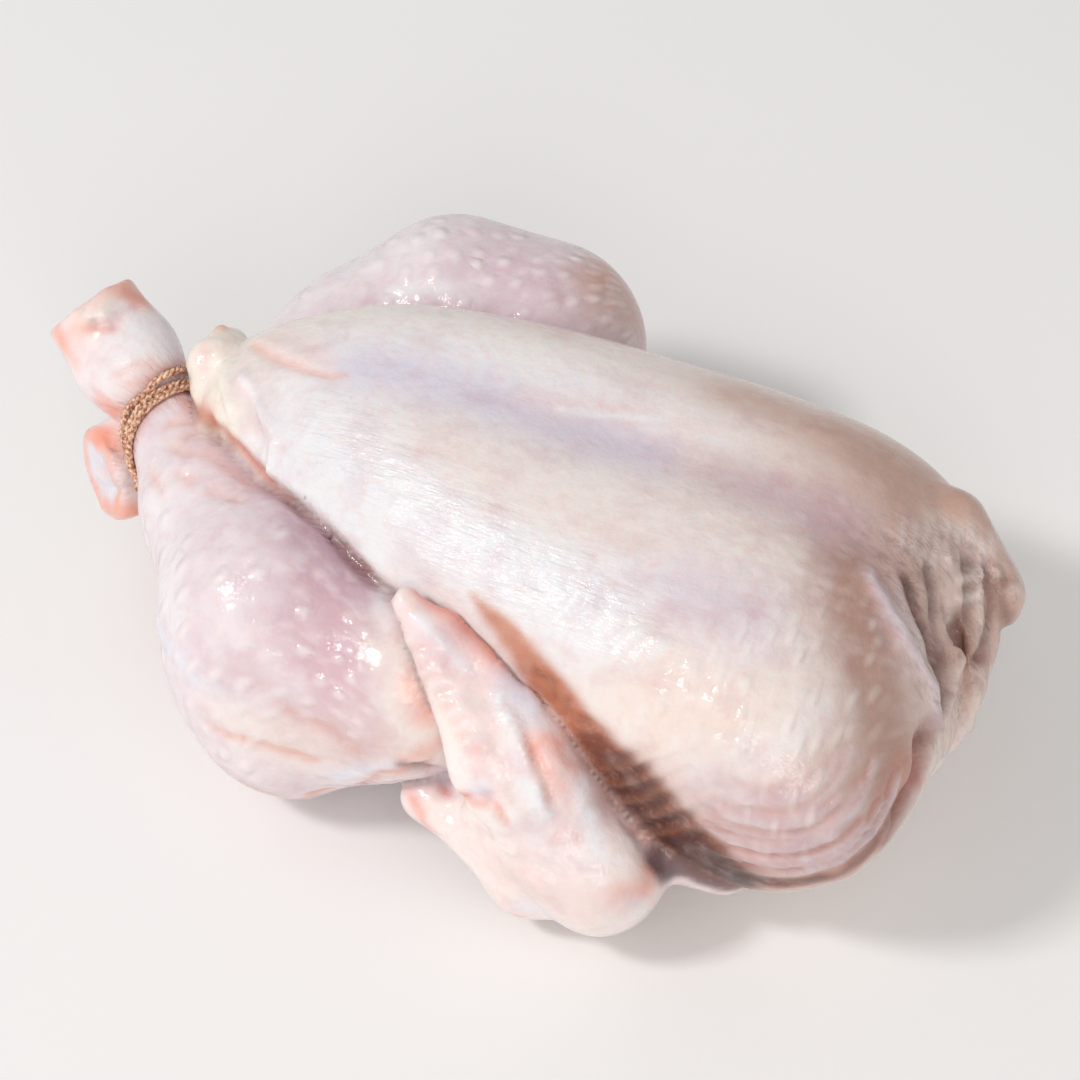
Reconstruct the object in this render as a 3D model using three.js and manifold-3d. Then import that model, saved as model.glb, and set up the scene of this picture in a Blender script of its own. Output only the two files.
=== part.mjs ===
// A whole raw chicken, oven-ready: plucked, without head or feet, lying on its back with the breast up and
// the ankles crossed and tied. Millimetres, +Z up, neck end towards +X, tail end towards -X, the bird's own
// left side towards -Y and its right side towards +Y.
// The bird is one closed body. Each region of it is a distance field built from a few named sizes, skinned
// on a grid of its own and joined to the others. The twine round the ankles is a piece of its own.
import * as THREE from "three";
import { mergeVertices } from "three/addons/utils/BufferGeometryUtils.js";
import Module from "manifold-3d";

const wasm = await Module();
wasm.setup();

// ---------------------------------------------------------------- driving dimensions
// Breast and back: half widths and heights at stations along the back, from the tail end to the neck.
const TRUNK = {
  x: [-110, -100, -80, -55, -15, 25, 62, 92, 114, 128, 135],
  left: [4, 18, 32, 48, 63, 70, 76, 80, 77, 59, 6],
  right: [4, 20, 35, 48, 58, 64, 67, 64, 52, 31, 4],
  top: [74, 87, 99, 107, 110, 108, 106, 100, 87, 69, 54],
  bottom: [60, 46, 26, 6, -3, -3, -2, 4, 18, 32, 48],
  // 2 is an oval section, more is flatter on top and at the sides
  flatness: 2.5,
  // how far the breast leans over towards the left, in mm down per mm across
  lean: 0.07,
};
// The groove down the breastbone between the two halves of the breast.
const KEEL = { depth: 3.5, width: 17, start: -70, end: 118 };

// Loose skin gathered in pleats over the neck opening, and the hollows between them. A limb is a row of
// its two ends and the radius at each.
const NECK_PLEATS = [
  { from: [104, -4, 82], to: [125, -20, 56], radius: [8, 7] },
  { from: [114, 14, 78], to: [131, -4, 42], radius: [5, 4] },
  { from: [110, 34, 74], to: [126, 27, 62], radius: [12, 10] },
  { from: [123, 19, 54], to: [127, 1, 27], radius: [7, 4] },
];
const NECK_HOLLOWS = [
  { from: [121, 4, 79], to: [134, -13, 46], radius: [4, 6] },
  { from: [133, -28, 42], to: [125, -32, 14], radius: [7, 11] },
  { from: [129, 22, 76], to: [136, 10, 50], radius: [4, 4] },
];
// Fat lip and flap of skin over the vent, between the drumsticks.
const VENT_LIP = [
  { from: [-106, 12, 80], to: [-104, 3, 80], radius: [5, 8] },
  { from: [-104, 3, 80], to: [-93, -16, 71], radius: [8, 8] },
  { from: [-93, -16, 71], to: [-74, -35, 63], radius: [8, 6] },
];
const TAIL = { centre: [-98, 0, 19], radius: [20, 16, 10] };

const LEFT_LEG = {
  hip: [-30, -42, 38],
  hipRadius: 33,
  knee: [-11, -62, 52],
  kneeRadius: 24,
  thigh: [-45, -64, 36],
  thighRadius: 33,
  drum: [-54, -56, 52],
  drumRadius: 33,
  calf: [-88, -33, 58],
  calfRadius: 19,
  waist: [-122, -5, 63],
  end: [-149, 4, 86],
};
const RIGHT_LEG = {
  hip: [-30, 42, 40],
  hipRadius: 32,
  knee: [-33, 70, 60],
  kneeRadius: 28,
  thigh: [-46, 68, 44],
  thighRadius: 31,
  drum: [-60, 68, 60],
  drumRadius: 31,
  calf: [-84, 50, 55],
  calfRadius: 23,
  waist: [-117, 3, 43],
  end: [-134, -22, 45],
};
// Bare shank: thin where it is tied, thick again at the joint where the foot was cut off. It reaches its
// full thickness at the share of the way given.
const SHANK = { waistRadius: 11.5, swellAt: 0.45, swellRadius: 15, endRadius: 14.5, fillet: 6, rim: 2 };

// Each wing has its forearm along the bottom, from the elbow to the heel of the wrist, a web of skin and
// meat above it, and the hand on top, which lies back from the wrist to the tip.
const LEFT_WING = {
  shoulder: [84, -62, 30],
  elbow: [3, -80, 28],
  forearm: [37, -87, 18],
  heel: [55, -82, 20],
  web: [26, -84, 35],
  wrist: [58, -85, 29],
  knuckle: [30, -83, 59],
  tip: [-9, -66, 87],
  // across the flat of the hand
  outward: [0.52, 0.73, 0.44],
};
const RIGHT_WING = {
  shoulder: [84, 50, 30],
  elbow: [4, 72, 26],
  forearm: [40, 76, 17],
  heel: [60, 72, 18],
  web: [36, 75, 26],
  wrist: [64, 72, 24],
  knuckle: [42, 78, 32],
  tip: [8, 82, 40],
  outward: [0.52, -0.73, 0.44],
};
const ARM = { shoulderRadius: 15, elbowRadius: 6, forearmRadius: 10, heelRadius: 13 };
const WEB = { radius: 9, wristRadius: 14 };
const HAND = { width: [17, 15.5, 4], thickness: [12, 8, 3.5] };

// Kitchen twine wound round the crossing: its route over the upper shank and under the lower one, and how
// far each turn lies to the side of the middle one.
const TWINE = { radius: 1.2, clearance: 0.8, turns: [-3.2, -0.6, 4], sides: 6, steps: 40 };
const TWINE_ROUTE = {
  over: [-119, -8, 78],
  leftSide: [-128, -17, 62],
  leftHollow: [-119, -13, 52],
  lowerFront: [-105, -5, 43],
  under: [-117, 3, 28],
  lowerBack: [-129, 11, 43],
  rightHollow: [-123, 11, 53],
  rightSide: [-112, 7, 65],
};
const KNOT = { near: [-124, 10, 33], length: 10.4, width: 6.8, height: 4.2 };
const KNOT_ENDS = { length: 12, spread: 0.6, droop: 0.5 };

// How the surfaces run into each other, as the width of the fillet between them.
const FILLET = { leg: 12, wing: 7, vent: 6, pleat: 4, hollow: 3, tail: 14 };
const BENCH = { size: 600, depth: 100 };

// ---------------------------------------------------------------- distance fields, below zero inside
const clamp01 = (t) => Math.min(1, Math.max(0, t));
const mix = (a, b, t) => a + (b - a) * t;

// A limb that runs straight between two points while its radius changes.
function taper(a, b, radiusA, radiusB) {
  const d = [b[0] - a[0], b[1] - a[1], b[2] - a[2]];
  const length2 = d[0] * d[0] + d[1] * d[1] + d[2] * d[2];
  return (x, y, z) => {
    const px = x - a[0];
    const py = y - a[1];
    const pz = z - a[2];
    const t = clamp01((px * d[0] + py * d[1] + pz * d[2]) / length2);
    return Math.hypot(px - t * d[0], py - t * d[1], pz - t * d[2]) - mix(radiusA, radiusB, t);
  };
}
const limb = ({ from, to, radius }) => taper(from, to, ...radius);

// The same with an oval section: wide along the direction given, thin across it.
function strap(a, b, [wideA, wideB], [thinA, thinB], towards) {
  const axis = new THREE.Vector3(...b).sub(new THREE.Vector3(...a));
  const length = axis.length();
  axis.normalize();
  const wide = new THREE.Vector3(...towards);
  wide.addScaledVector(axis, -wide.dot(axis)).normalize();
  const thin = new THREE.Vector3().crossVectors(axis, wide);
  return (x, y, z) => {
    const px = x - a[0];
    const py = y - a[1];
    const pz = z - a[2];
    const along = px * axis.x + py * axis.y + pz * axis.z;
    const t = clamp01(along / length);
    const w = mix(wideA, wideB, t);
    const h = mix(thinA, thinB, t);
    const u = along - t * length;
    const v = px * wide.x + py * wide.y + pz * wide.z;
    const n = px * thin.x + py * thin.y + pz * thin.z;
    const k0 = Math.hypot(u / w, v / w, n / h);
    const k1 = Math.hypot(u / (w * w), v / (w * w), n / (h * h));
    return k1 < 1e-9 ? -h : (k0 * (k0 - 1)) / k1;
  };
}

function ellipsoid({ centre: c, radius: r }) {
  return (x, y, z) => {
    const px = x - c[0];
    const py = y - c[1];
    const pz = z - c[2];
    const k0 = Math.hypot(px / r[0], py / r[1], pz / r[2]);
    const k1 = Math.hypot(px / (r[0] * r[0]), py / (r[1] * r[1]), pz / (r[2] * r[2]));
    return k1 < 1e-9 ? -Math.min(...r) : (k0 * (k0 - 1)) / k1;
  };
}

// Two surfaces run into each other over the width given.
function soften(a, b, width) {
  const h = Math.max(width - Math.abs(a - b), 0) / width;
  return Math.min(a, b) - (h * h * width) / 4;
}

function blend(width, ...fields) {
  return (x, y, z) => {
    let d = fields[0](x, y, z);
    for (let i = 1; i < fields.length; i++) d = soften(d, fields[i](x, y, z), width);
    return d;
  };
}

const hollowed = (width, field, hollow) => (x, y, z) => -soften(-field(x, y, z), hollow(x, y, z), width);

// Smooth curve through the stations xs with the values ys, read at x.
function through(xs, ys, x) {
  const n = xs.length - 1;
  if (x <= xs[0]) return ys[0];
  if (x >= xs[n]) return ys[n];
  let i = 0;
  while (x > xs[i + 1]) i++;
  const slopeAt = (j) => {
    const a = Math.max(j - 1, 0);
    const b = Math.min(j + 1, n);
    return (ys[b] - ys[a]) / (xs[b] - xs[a]);
  };
  const h = xs[i + 1] - xs[i];
  const t = (x - xs[i]) / h;
  const t2 = t * t;
  const t3 = t2 * t;
  return (
    ys[i] * (2 * t3 - 3 * t2 + 1) +
    slopeAt(i) * h * (t3 - 2 * t2 + t) +
    ys[i + 1] * (3 * t2 - 2 * t3) +
    slopeAt(i + 1) * h * (t3 - t2)
  );
}

// ---------------------------------------------------------------- the bird's regions
// Breast and back in one: rounded sections strung along X, fuller on the left side.
function trunk(x, y, z) {
  const half = through(TRUNK.x, y < 0 ? TRUNK.left : TRUNK.right, x);
  const top = through(TRUNK.x, TRUNK.top, x);
  const bottom = through(TRUNK.x, TRUNK.bottom, x);
  const leant = z + TRUNK.lean * y * clamp01((x + 60) / 120) * clamp01((z - 30) / 40);
  const mid = (top + bottom) / 2;
  const rise = (top - bottom) / 2;
  const n = TRUNK.flatness;
  const q = (Math.abs(y / half) ** n + Math.abs((leant - mid) / rise) ** n) ** (1 / n);
  const ends = Math.max(TRUNK.x[0] - x, x - TRUNK.x[TRUNK.x.length - 1]);
  const along = clamp01((x - KEEL.start) / 50) * clamp01((KEEL.end - x) / 40);
  const groove = KEEL.depth * along * Math.exp(-((y / KEEL.width) ** 2)) * clamp01((z - mid) / 20);
  return Math.max((q - 1) * Math.min(half, rise), ends) + groove;
}

const pleats = blend(FILLET.pleat, ...NECK_PLEATS.map(limb));
const hollows = blend(FILLET.pleat, ...NECK_HOLLOWS.map(limb));
const neckEnd = hollowed(FILLET.hollow, blend(FILLET.pleat, trunk, pleats), hollows);
const body = blend(FILLET.tail, neckEnd, ellipsoid(TAIL));
const vent = blend(FILLET.vent, ...VENT_LIP.map(limb));

// Thigh and drumstick, down to the waist of the shank where it is tied.
const legOf = (leg) =>
  blend(
    FILLET.leg,
    taper(leg.hip, leg.knee, leg.hipRadius, leg.kneeRadius),
    taper(leg.knee, leg.drum, leg.kneeRadius, leg.drumRadius),
    taper(leg.knee, leg.thigh, leg.kneeRadius, leg.thighRadius),
    taper(leg.drum, leg.calf, leg.drumRadius, leg.calfRadius),
    taper(leg.calf, leg.waist, leg.calfRadius, SHANK.waistRadius),
  );

// From the waist to the joint, where the foot was cut off square.
function hockOf(leg) {
  const waist = new THREE.Vector3(...leg.waist);
  const end = new THREE.Vector3(...leg.end);
  const swell = waist.clone().lerp(end, SHANK.swellAt).toArray();
  const axis = end.clone().sub(waist).normalize();
  const beyond = (x, y, z) => (x - end.x) * axis.x + (y - end.y) * axis.y + (z - end.z) * axis.z;
  const shank = blend(
    SHANK.fillet,
    taper(leg.waist, swell, SHANK.waistRadius, SHANK.swellRadius),
    taper(swell, leg.end, SHANK.swellRadius, SHANK.endRadius),
  );
  return (x, y, z) => -soften(-shank(x, y, z), -beyond(x, y, z), SHANK.rim);
}

// Wing folded in a Z: upper arm back to the elbow, forearm forward to the wrist, hand back to the tip.
const wingOf = (wing) =>
  blend(
    FILLET.wing,
    taper(wing.shoulder, wing.elbow, ARM.shoulderRadius, ARM.elbowRadius),
    taper(wing.elbow, wing.forearm, ARM.elbowRadius, ARM.forearmRadius),
    taper(wing.forearm, wing.heel, ARM.forearmRadius, ARM.heelRadius),
    taper(wing.web, wing.wrist, WEB.radius, WEB.wristRadius),
    strap(wing.wrist, wing.knuckle, HAND.width.slice(0, 2), HAND.thickness.slice(0, 2), wing.outward),
    strap(wing.knuckle, wing.tip, HAND.width.slice(1), HAND.thickness.slice(1), wing.outward),
  );

const leftLeg = legOf(LEFT_LEG);
const rightLeg = legOf(RIGHT_LEG);
const leftHock = hockOf(LEFT_LEG);
const rightHock = hockOf(RIGHT_LEG);
const leftWing = wingOf(LEFT_WING);
const rightWing = wingOf(RIGHT_WING);

// ---------------------------------------------------------------- skinning a field
const X = 0;
const Y = 1;
const Z = 2;

// Grid lines along one axis: from the start, in steps of the size given up to each limit in turn.
function lines(start, ...runs) {
  const at = [start];
  for (const [limit, size] of runs) while (at[at.length - 1] < limit) at.push(at[at.length - 1] + size);
  return at;
}

const evenGrid = (low, high, cell) => low.map((start, axis) => lines(start, [high[axis], cell]));

// Slides a point onto the surface, never further than part of a cell.
function settle(field, start, cell) {
  const e = 0.4;
  const p = [...start];
  for (let pass = 0; pass < 3; pass++) {
    const d = field(...p);
    const g = [
      field(p[X] + e, p[Y], p[Z]) - d,
      field(p[X], p[Y] + e, p[Z]) - d,
      field(p[X], p[Y], p[Z] + e) - d,
    ].map((v) => v / e);
    const g2 = Math.max(g[X] ** 2 + g[Y] ** 2 + g[Z] ** 2, 0.1);
    for (const axis of [X, Y, Z]) p[axis] -= (d * g[axis]) / g2;
  }
  const moved = Math.hypot(p[X] - start[X], p[Y] - start[Y], p[Z] - start[Z]);
  const share = Math.min(1, (0.35 * cell) / Math.max(moved, 1e-6));
  return p.map((v, axis) => mix(start[axis], v, share));
}

// Closed mesh where the field is zero: one vertex in each cell of the grid that the surface crosses, drawn
// onto the surface, and a square round each grid edge that it crosses.
function skin(field, grid) {
  const n = grid.map((g) => g.length);
  const at = (i, j, k) => (k * n[Y] + j) * n[X] + i;
  const value = new Float64Array(n[X] * n[Y] * n[Z]);
  for (let k = 0; k < n[Z]; k++)
    for (let j = 0; j < n[Y]; j++)
      for (let i = 0; i < n[X]; i++) value[at(i, j, k)] = field(grid[X][i], grid[Y][j], grid[Z][k]);

  const corners = [0, 1, 2, 3, 4, 5, 6, 7].map((c) => [c & 1, (c >> 1) & 1, c >> 2]);
  const edges = [];
  for (let a = 0; a < 8; a++) for (const bit of [1, 2, 4]) if (!(a & bit)) edges.push([a, a | bit]);
  const vertexOf = new Int32Array(value.length).fill(-1);
  const points = [];
  for (let k = 0; k < n[Z] - 1; k++)
    for (let j = 0; j < n[Y] - 1; j++)
      for (let i = 0; i < n[X] - 1; i++) {
        const v = corners.map(([a, b, c]) => value[at(i + a, j + b, k + c)]);
        const sum = [0, 0, 0];
        let crossings = 0;
        for (const [a, b] of edges)
          if (v[a] < 0 !== v[b] < 0) {
            const t = v[a] / (v[a] - v[b]);
            for (const axis of [X, Y, Z]) sum[axis] += mix(corners[a][axis], corners[b][axis], t);
            crossings++;
          }
        if (!crossings) continue;
        vertexOf[at(i, j, k)] = points.length;
        const size = [i, j, k].map((c, axis) => grid[axis][c + 1] - grid[axis][c]);
        const start = [i, j, k].map((c, axis) => grid[axis][c] + (sum[axis] / crossings) * size[axis]);
        points.push(settle(field, start, Math.min(...size)));
      }

  const step = [[1, 0, 0], [0, 1, 0], [0, 0, 1]];
  const span = (s, t) => Math.hypot(s[X] - t[X], s[Y] - t[Y], s[Z] - t[Z]);
  const index = [];
  for (let k = 1; k < n[Z] - 1; k++)
    for (let j = 1; j < n[Y] - 1; j++)
      for (let i = 1; i < n[X] - 1; i++)
        for (const axis of [X, Y, Z]) {
          const e = step[axis];
          const inside = value[at(i, j, k)] < 0;
          if (inside === value[at(i + e[X], j + e[Y], k + e[Z])] < 0) continue;
          const p = step[(axis + 1) % 3];
          const q = step[(axis + 2) % 3];
          const cellAt = (s, t) =>
            vertexOf[at(i - s * p[X] - t * q[X], j - s * p[Y] - t * q[Y], k - s * p[Z] - t * q[Z])];
          const ring = [cellAt(1, 1), cellAt(0, 1), cellAt(0, 0), cellAt(1, 0)];
          if (!inside) ring.reverse();
          const [a, b, c, d] = ring.map((r) => points[r]);
          // the square is split along its shorter diagonal
          if (span(a, c) < span(b, d)) index.push(ring[0], ring[1], ring[2], ring[0], ring[2], ring[3]);
          else index.push(ring[1], ring[2], ring[3], ring[1], ring[3], ring[0]);
        }
  const geometry = new THREE.BufferGeometry();
  geometry.setAttribute("position", new THREE.Float32BufferAttribute(points.flat(), 3));
  geometry.setIndex(index);
  return geometry;
}

// Where two sheets of skin come to share an edge, the grid is moved on a little and laid again.
function closedSkin(field, grid) {
  for (const shift of [0, 1.1, 2.3, 0.6, 1.7, 3.1, 2.9, 3.7]) {
    const geometry = skin(field, grid.map((g) => g.map((v) => v - shift)));
    const index = geometry.index.array;
    const uses = new Map();
    for (let i = 0; i < index.length; i++) {
      const next = i % 3 === 2 ? i - 2 : i + 1;
      const edge = index[i] * 1e6 + index[next];
      uses.set(edge, (uses.get(edge) ?? 0) + 1);
    }
    if (Math.max(...uses.values()) === 1) return geometry;
  }
  throw new Error("a skin folds onto itself");
}

// ---------------------------------------------------------------- solids for joining and cutting
function bare(geometry) {
  geometry.deleteAttribute("normal");
  geometry.deleteAttribute("uv");
  return mergeVertices(geometry, 1e-3);
}

function solid(geometry) {
  return new wasm.Manifold(
    new wasm.Mesh({
      numProp: 3,
      vertProperties: new Float32Array(geometry.getAttribute("position").array),
      triVerts: new Uint32Array(geometry.index.array),
    }),
  );
}

const joined = (solids) => solids.reduce((a, b) => a.add(b));

function meshOf(name, made, colour, roughness) {
  const { vertProperties, triVerts } = made.getMesh();
  const geometry = new THREE.BufferGeometry();
  geometry.setAttribute("position", new THREE.BufferAttribute(vertProperties, 3));
  geometry.setIndex(new THREE.BufferAttribute(triVerts, 1));
  const material = new THREE.MeshStandardMaterial({ color: colour, roughness, metalness: 0 });
  const mesh = new THREE.Mesh(geometry, material);
  mesh.name = name;
  return mesh;
}

// ---------------------------------------------------------------- the bird
// The trunk's grid is finer along X towards the pleated neck end.
const trunkGrid = [
  lines(-140, [88, 8], [150, 5]),
  lines(-100, [-40, 8], [40, 7], [90, 8]),
  lines(-16, [124, 7]),
];
const regions = [
  [body, trunkGrid],
  [vent, evenGrid([-130, -60, 30], [-50, 40, 110], 5)],
  [leftLeg, evenGrid([-140, -120, -16], [40, 50, 110], 7)],
  [rightLeg, evenGrid([-140, -60, -16], [40, 130, 120], 7.5)],
  [leftHock, evenGrid([-190, -60, 30], [-90, 60, 100], 4.5)],
  [rightHock, evenGrid([-170, -60, 10], [-90, 60, 80], 4.5)],
  [leftWing, evenGrid([-36, -116, -16], [120, -30, 120], 5.5)],
  [rightWing, evenGrid([-36, 20, -16], [120, 116, 120], 6.5)],
];

// The soft back is pressed flat where it lies.
const bench = new THREE.BoxGeometry(BENCH.size, BENCH.size, BENCH.depth);
bench.translate(0, 0, -BENCH.depth / 2);
const whole = joined(regions.map(([field, grid]) => solid(closedSkin(field, grid))));
const bird = whole.subtract(solid(bare(bench)));

// ---------------------------------------------------------------- twine round the crossed ankles
const roundTie = [leftLeg, rightLeg, leftHock, rightHock, vent, body];
const shanks = (x, y, z) => Math.min(...roundTie.map((field) => field(x, y, z)));

function outOfShanks(p) {
  const e = 0.3;
  return new THREE.Vector3(
    shanks(p.x + e, p.y, p.z) - shanks(p.x - e, p.y, p.z),
    shanks(p.x, p.y + e, p.z) - shanks(p.x, p.y - e, p.z),
    shanks(p.x, p.y, p.z + e) - shanks(p.x, p.y, p.z - e),
  ).normalize();
}

// Lifts a point of the twine off the shanks as far as the twine is thick.
function layOn(p) {
  const gap = shanks(p.x, p.y, p.z) - TWINE.radius - TWINE.clearance;
  if (gap < 0) p.addScaledVector(outOfShanks(p), -gap);
}

// A loop over the upper shank and under the lower one, drawn in until it lies tight.
function tightLoop() {
  const route = Object.values(TWINE_ROUTE).map((p) => new THREE.Vector3(...p));
  const loop = new THREE.CatmullRomCurve3(route, true).getSpacedPoints(64);
  loop.pop();
  for (let pass = 0; pass < 260; pass++) {
    const before = loop.map((p) => p.clone());
    for (const [i, p] of loop.entries()) {
      const ahead = before[(i + 1) % loop.length];
      const behind = before[(i + loop.length - 1) % loop.length];
      p.lerp(ahead.clone().add(behind).multiplyScalar(0.5), 0.5);
      layOn(p);
    }
  }
  return loop;
}
const middleTurn = tightLoop();

// The other turns lie beside the middle one, shifted along the skin.
function turnAt(shift) {
  const laid = middleTurn.map((p, i) => {
    const ahead = middleTurn[(i + 1) % middleTurn.length];
    const behind = middleTurn[(i + middleTurn.length - 1) % middleTurn.length];
    const aside = ahead.clone().sub(behind).cross(outOfShanks(p)).normalize();
    const q = p.clone().addScaledVector(aside, shift);
    for (let pass = 0; pass < 4; pass++) layOn(q);
    return q;
  });
  const route = new THREE.CatmullRomCurve3(laid, true, "centripetal");
  return solid(bare(new THREE.TubeGeometry(route, TWINE.steps, TWINE.radius, TWINE.sides, true)));
}

// The turns meet in a small flat knot under the crossing, with two short ends.
function knot() {
  const wanted = new THREE.Vector3(...KNOT.near);
  const at = middleTurn.reduce((a, b) => (a.distanceTo(wanted) < b.distanceTo(wanted) ? a : b));
  const i = middleTurn.indexOf(at);
  const outward = outOfShanks(at);
  const alongTwine = middleTurn[i + 1].clone().sub(middleTurn[i - 1]).normalize();
  const aside = alongTwine.clone().cross(outward).normalize();
  const place = new THREE.Matrix4().makeBasis(aside, outward.clone().cross(aside), outward);
  place.setPosition(at.clone().addScaledVector(outward, TWINE.clearance * 1.5));
  const lump = new THREE.SphereGeometry(0.5, 10, 7);
  lump.scale(KNOT.length, KNOT.width, KNOT.height);
  lump.applyMatrix4(place);
  const ends = [-1, 1].map((side) => {
    const end = new THREE.CapsuleGeometry(TWINE.radius, KNOT_ENDS.length, 2, 7);
    end.translate(0, KNOT_ENDS.length / 2, 0);
    end.rotateX(KNOT_ENDS.droop);
    end.rotateZ(side * KNOT_ENDS.spread);
    end.translate(side * TWINE.radius * 1.25, TWINE.radius * 1.25, TWINE.radius / 2);
    return end.applyMatrix4(place);
  });
  return [lump, ...ends].map((piece) => solid(bare(piece)));
}

const tie = joined([...TWINE.turns.map(turnAt), ...knot()]);

const group = new THREE.Group();
group.add(meshOf("chicken", bird, 0xe6d3cc, 0.4));
group.add(meshOf("twine_tie", tie, 0x8a5a38, 0.9));

export default group;
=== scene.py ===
import math

import bpy
import numpy as np
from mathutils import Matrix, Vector, noise
from mathutils.bvhtree import BVHTree


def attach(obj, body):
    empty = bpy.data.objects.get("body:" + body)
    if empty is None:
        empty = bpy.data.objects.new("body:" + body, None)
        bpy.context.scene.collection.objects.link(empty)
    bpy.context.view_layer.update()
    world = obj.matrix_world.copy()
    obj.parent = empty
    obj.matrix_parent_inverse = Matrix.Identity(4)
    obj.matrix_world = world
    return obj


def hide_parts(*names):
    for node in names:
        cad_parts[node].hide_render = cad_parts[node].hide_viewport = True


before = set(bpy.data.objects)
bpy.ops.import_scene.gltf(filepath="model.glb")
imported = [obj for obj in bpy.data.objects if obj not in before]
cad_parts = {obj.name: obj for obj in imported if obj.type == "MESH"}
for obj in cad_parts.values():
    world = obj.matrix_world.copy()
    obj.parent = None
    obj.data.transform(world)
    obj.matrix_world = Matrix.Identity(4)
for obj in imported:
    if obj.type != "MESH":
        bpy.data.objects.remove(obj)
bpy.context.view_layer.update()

# ----------------------------------------------------------------------------------------------------
# Camera: it looks down on the bird's left side from beyond the tail end of the wing, through a long
# lens, so the tied ankles are at the left and the neck end at the right.
# ----------------------------------------------------------------------------------------------------
VIEW_PIXELS = 1080
FOCAL_PIXELS = 3208.5
SENSOR_WIDTH = 36
CAMERA_PLACE = Vector((0.27619, -0.59228, 0.70771))
CAMERA_TILT = (math.radians(45), 0, math.radians(25))

bpy.ops.object.select_all(action="DESELECT")
bpy.ops.object.camera_add(location=CAMERA_PLACE, rotation=CAMERA_TILT)
camera = bpy.context.object
camera.name = "camera"
camera.data.sensor_width = SENSOR_WIDTH
camera.data.lens = SENSOR_WIDTH * FOCAL_PIXELS / VIEW_PIXELS
camera.data.clip_start = 0.02
camera.data.clip_end = 20
camera.data.dof.use_dof = False
bpy.context.scene.camera = camera

# ----------------------------------------------------------------------------------------------------
# Studio: a plain pale table top, a window-like soft box above and to the left, which draws the wet
# streaks on the breast and the thigh, a weak wide one in front of the wing, and an even pale sky.
# ----------------------------------------------------------------------------------------------------
LIT_PLACE = Vector((0.02, -0.02, 0.06))
WARM_WHITE = (1.0, 0.985, 0.97)

bpy.ops.object.select_all(action="DESELECT")
bpy.ops.mesh.primitive_plane_add(size=12, location=(0, 0, 0))
floor = bpy.context.object
floor.name = "floor"
floor_finish = bpy.data.materials.new("floor_finish")
floor_finish.use_nodes = True
floor_shader = floor_finish.node_tree.nodes["Principled BSDF"]
floor_shader.inputs["Base Color"].default_value = (0.97, 0.965, 0.96, 1)
floor_shader.inputs["Roughness"].default_value = 0.9
floor.data.materials.append(floor_finish)


def soft_box(name, towards, distance, width, height, watts):
    """An area light that stands off the bird in the direction given and faces it."""
    towards = Vector(towards).normalized()
    bpy.ops.object.light_add(type="AREA", location=LIT_PLACE + towards * distance)
    light = bpy.context.object
    light.name = name
    light.rotation_euler = towards.to_track_quat("Z", "Y").to_euler()
    light.data.shape = "RECTANGLE"
    light.data.size = width
    light.data.size_y = height
    light.data.energy = watts
    light.data.color = WARM_WHITE


soft_box("window", towards=(-0.50, -0.47, 0.72), distance=2.6, width=0.5, height=0.35, watts=25)
soft_box("front_card", towards=(0.35, -0.78, 0.52), distance=2.6, width=1.2, height=0.8, watts=14)

sky = bpy.data.worlds.new("sky")
bpy.context.scene.world = sky
sky.use_nodes = True
sky_light = sky.node_tree.nodes["Background"]
sky_light.inputs["Color"].default_value = (1.0, 0.985, 0.975, 1)
sky_light.inputs["Strength"].default_value = 0.5
bpy.context.scene.view_settings.view_transform = "Standard"

# ----------------------------------------------------------------------------------------------------
# The bird: one skin over breast, back, legs and wings. The solid is copied, remeshed fine and drawn
# onto the smooth shape that its parts add up to, then its folds, ridges and hollows are worked in.
# ----------------------------------------------------------------------------------------------------
def limb(p, start, end, start_radius, end_radius):
    """Distance to a limb that runs straight between two points while its radius changes."""
    start = np.array(start, float)
    run = np.array(end, float) - start
    away = p - start
    t = np.clip(away @ run / (run @ run), 0, 1)
    return np.linalg.norm(away - t[:, None] * run, axis=1) - (start_radius + (end_radius - start_radius) * t)


def strap(p, start, end, widths, thicknesses, towards):
    """The same with an oval section, wide towards the direction given."""
    start = np.array(start, float)
    axis = np.array(end, float) - start
    length = np.linalg.norm(axis)
    axis /= length
    wide = np.array(towards, float)
    wide -= axis * (wide @ axis)
    wide /= np.linalg.norm(wide)
    thin = np.cross(axis, wide)
    away = p - start
    along = away @ axis
    t = np.clip(along / length, 0, 1)
    w = widths[0] + (widths[1] - widths[0]) * t
    h = thicknesses[0] + (thicknesses[1] - thicknesses[0]) * t
    u, v, n = along - t * length, away @ wide, away @ thin
    near = np.sqrt((u / w) ** 2 + (v / w) ** 2 + (n / h) ** 2)
    steep = np.sqrt((u / w**2) ** 2 + (v / w**2) ** 2 + (n / h**2) ** 2)
    return near * (near - 1) / np.maximum(steep, 1e-9)


def lump(p, centre, radii):
    """Distance to an egg shape with these three half sizes."""
    q = p - np.array(centre, float)
    near = np.linalg.norm(q / np.array(radii, float), axis=1)
    steep = np.linalg.norm(q / np.array(radii, float) ** 2, axis=1)
    return near * (near - 1) / np.maximum(steep, 1e-9)


def melt(width, *distances):
    """Joins shapes, each running into the next over the width given."""
    joined = distances[0]
    for other in distances[1:]:
        near = np.maximum(width - np.abs(joined - other), 0) / width
        joined = np.minimum(joined, other) - near * near * width / 4
    return joined


def scooped(width, shape, scoop):
    return -melt(width, -shape, scoop)


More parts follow.
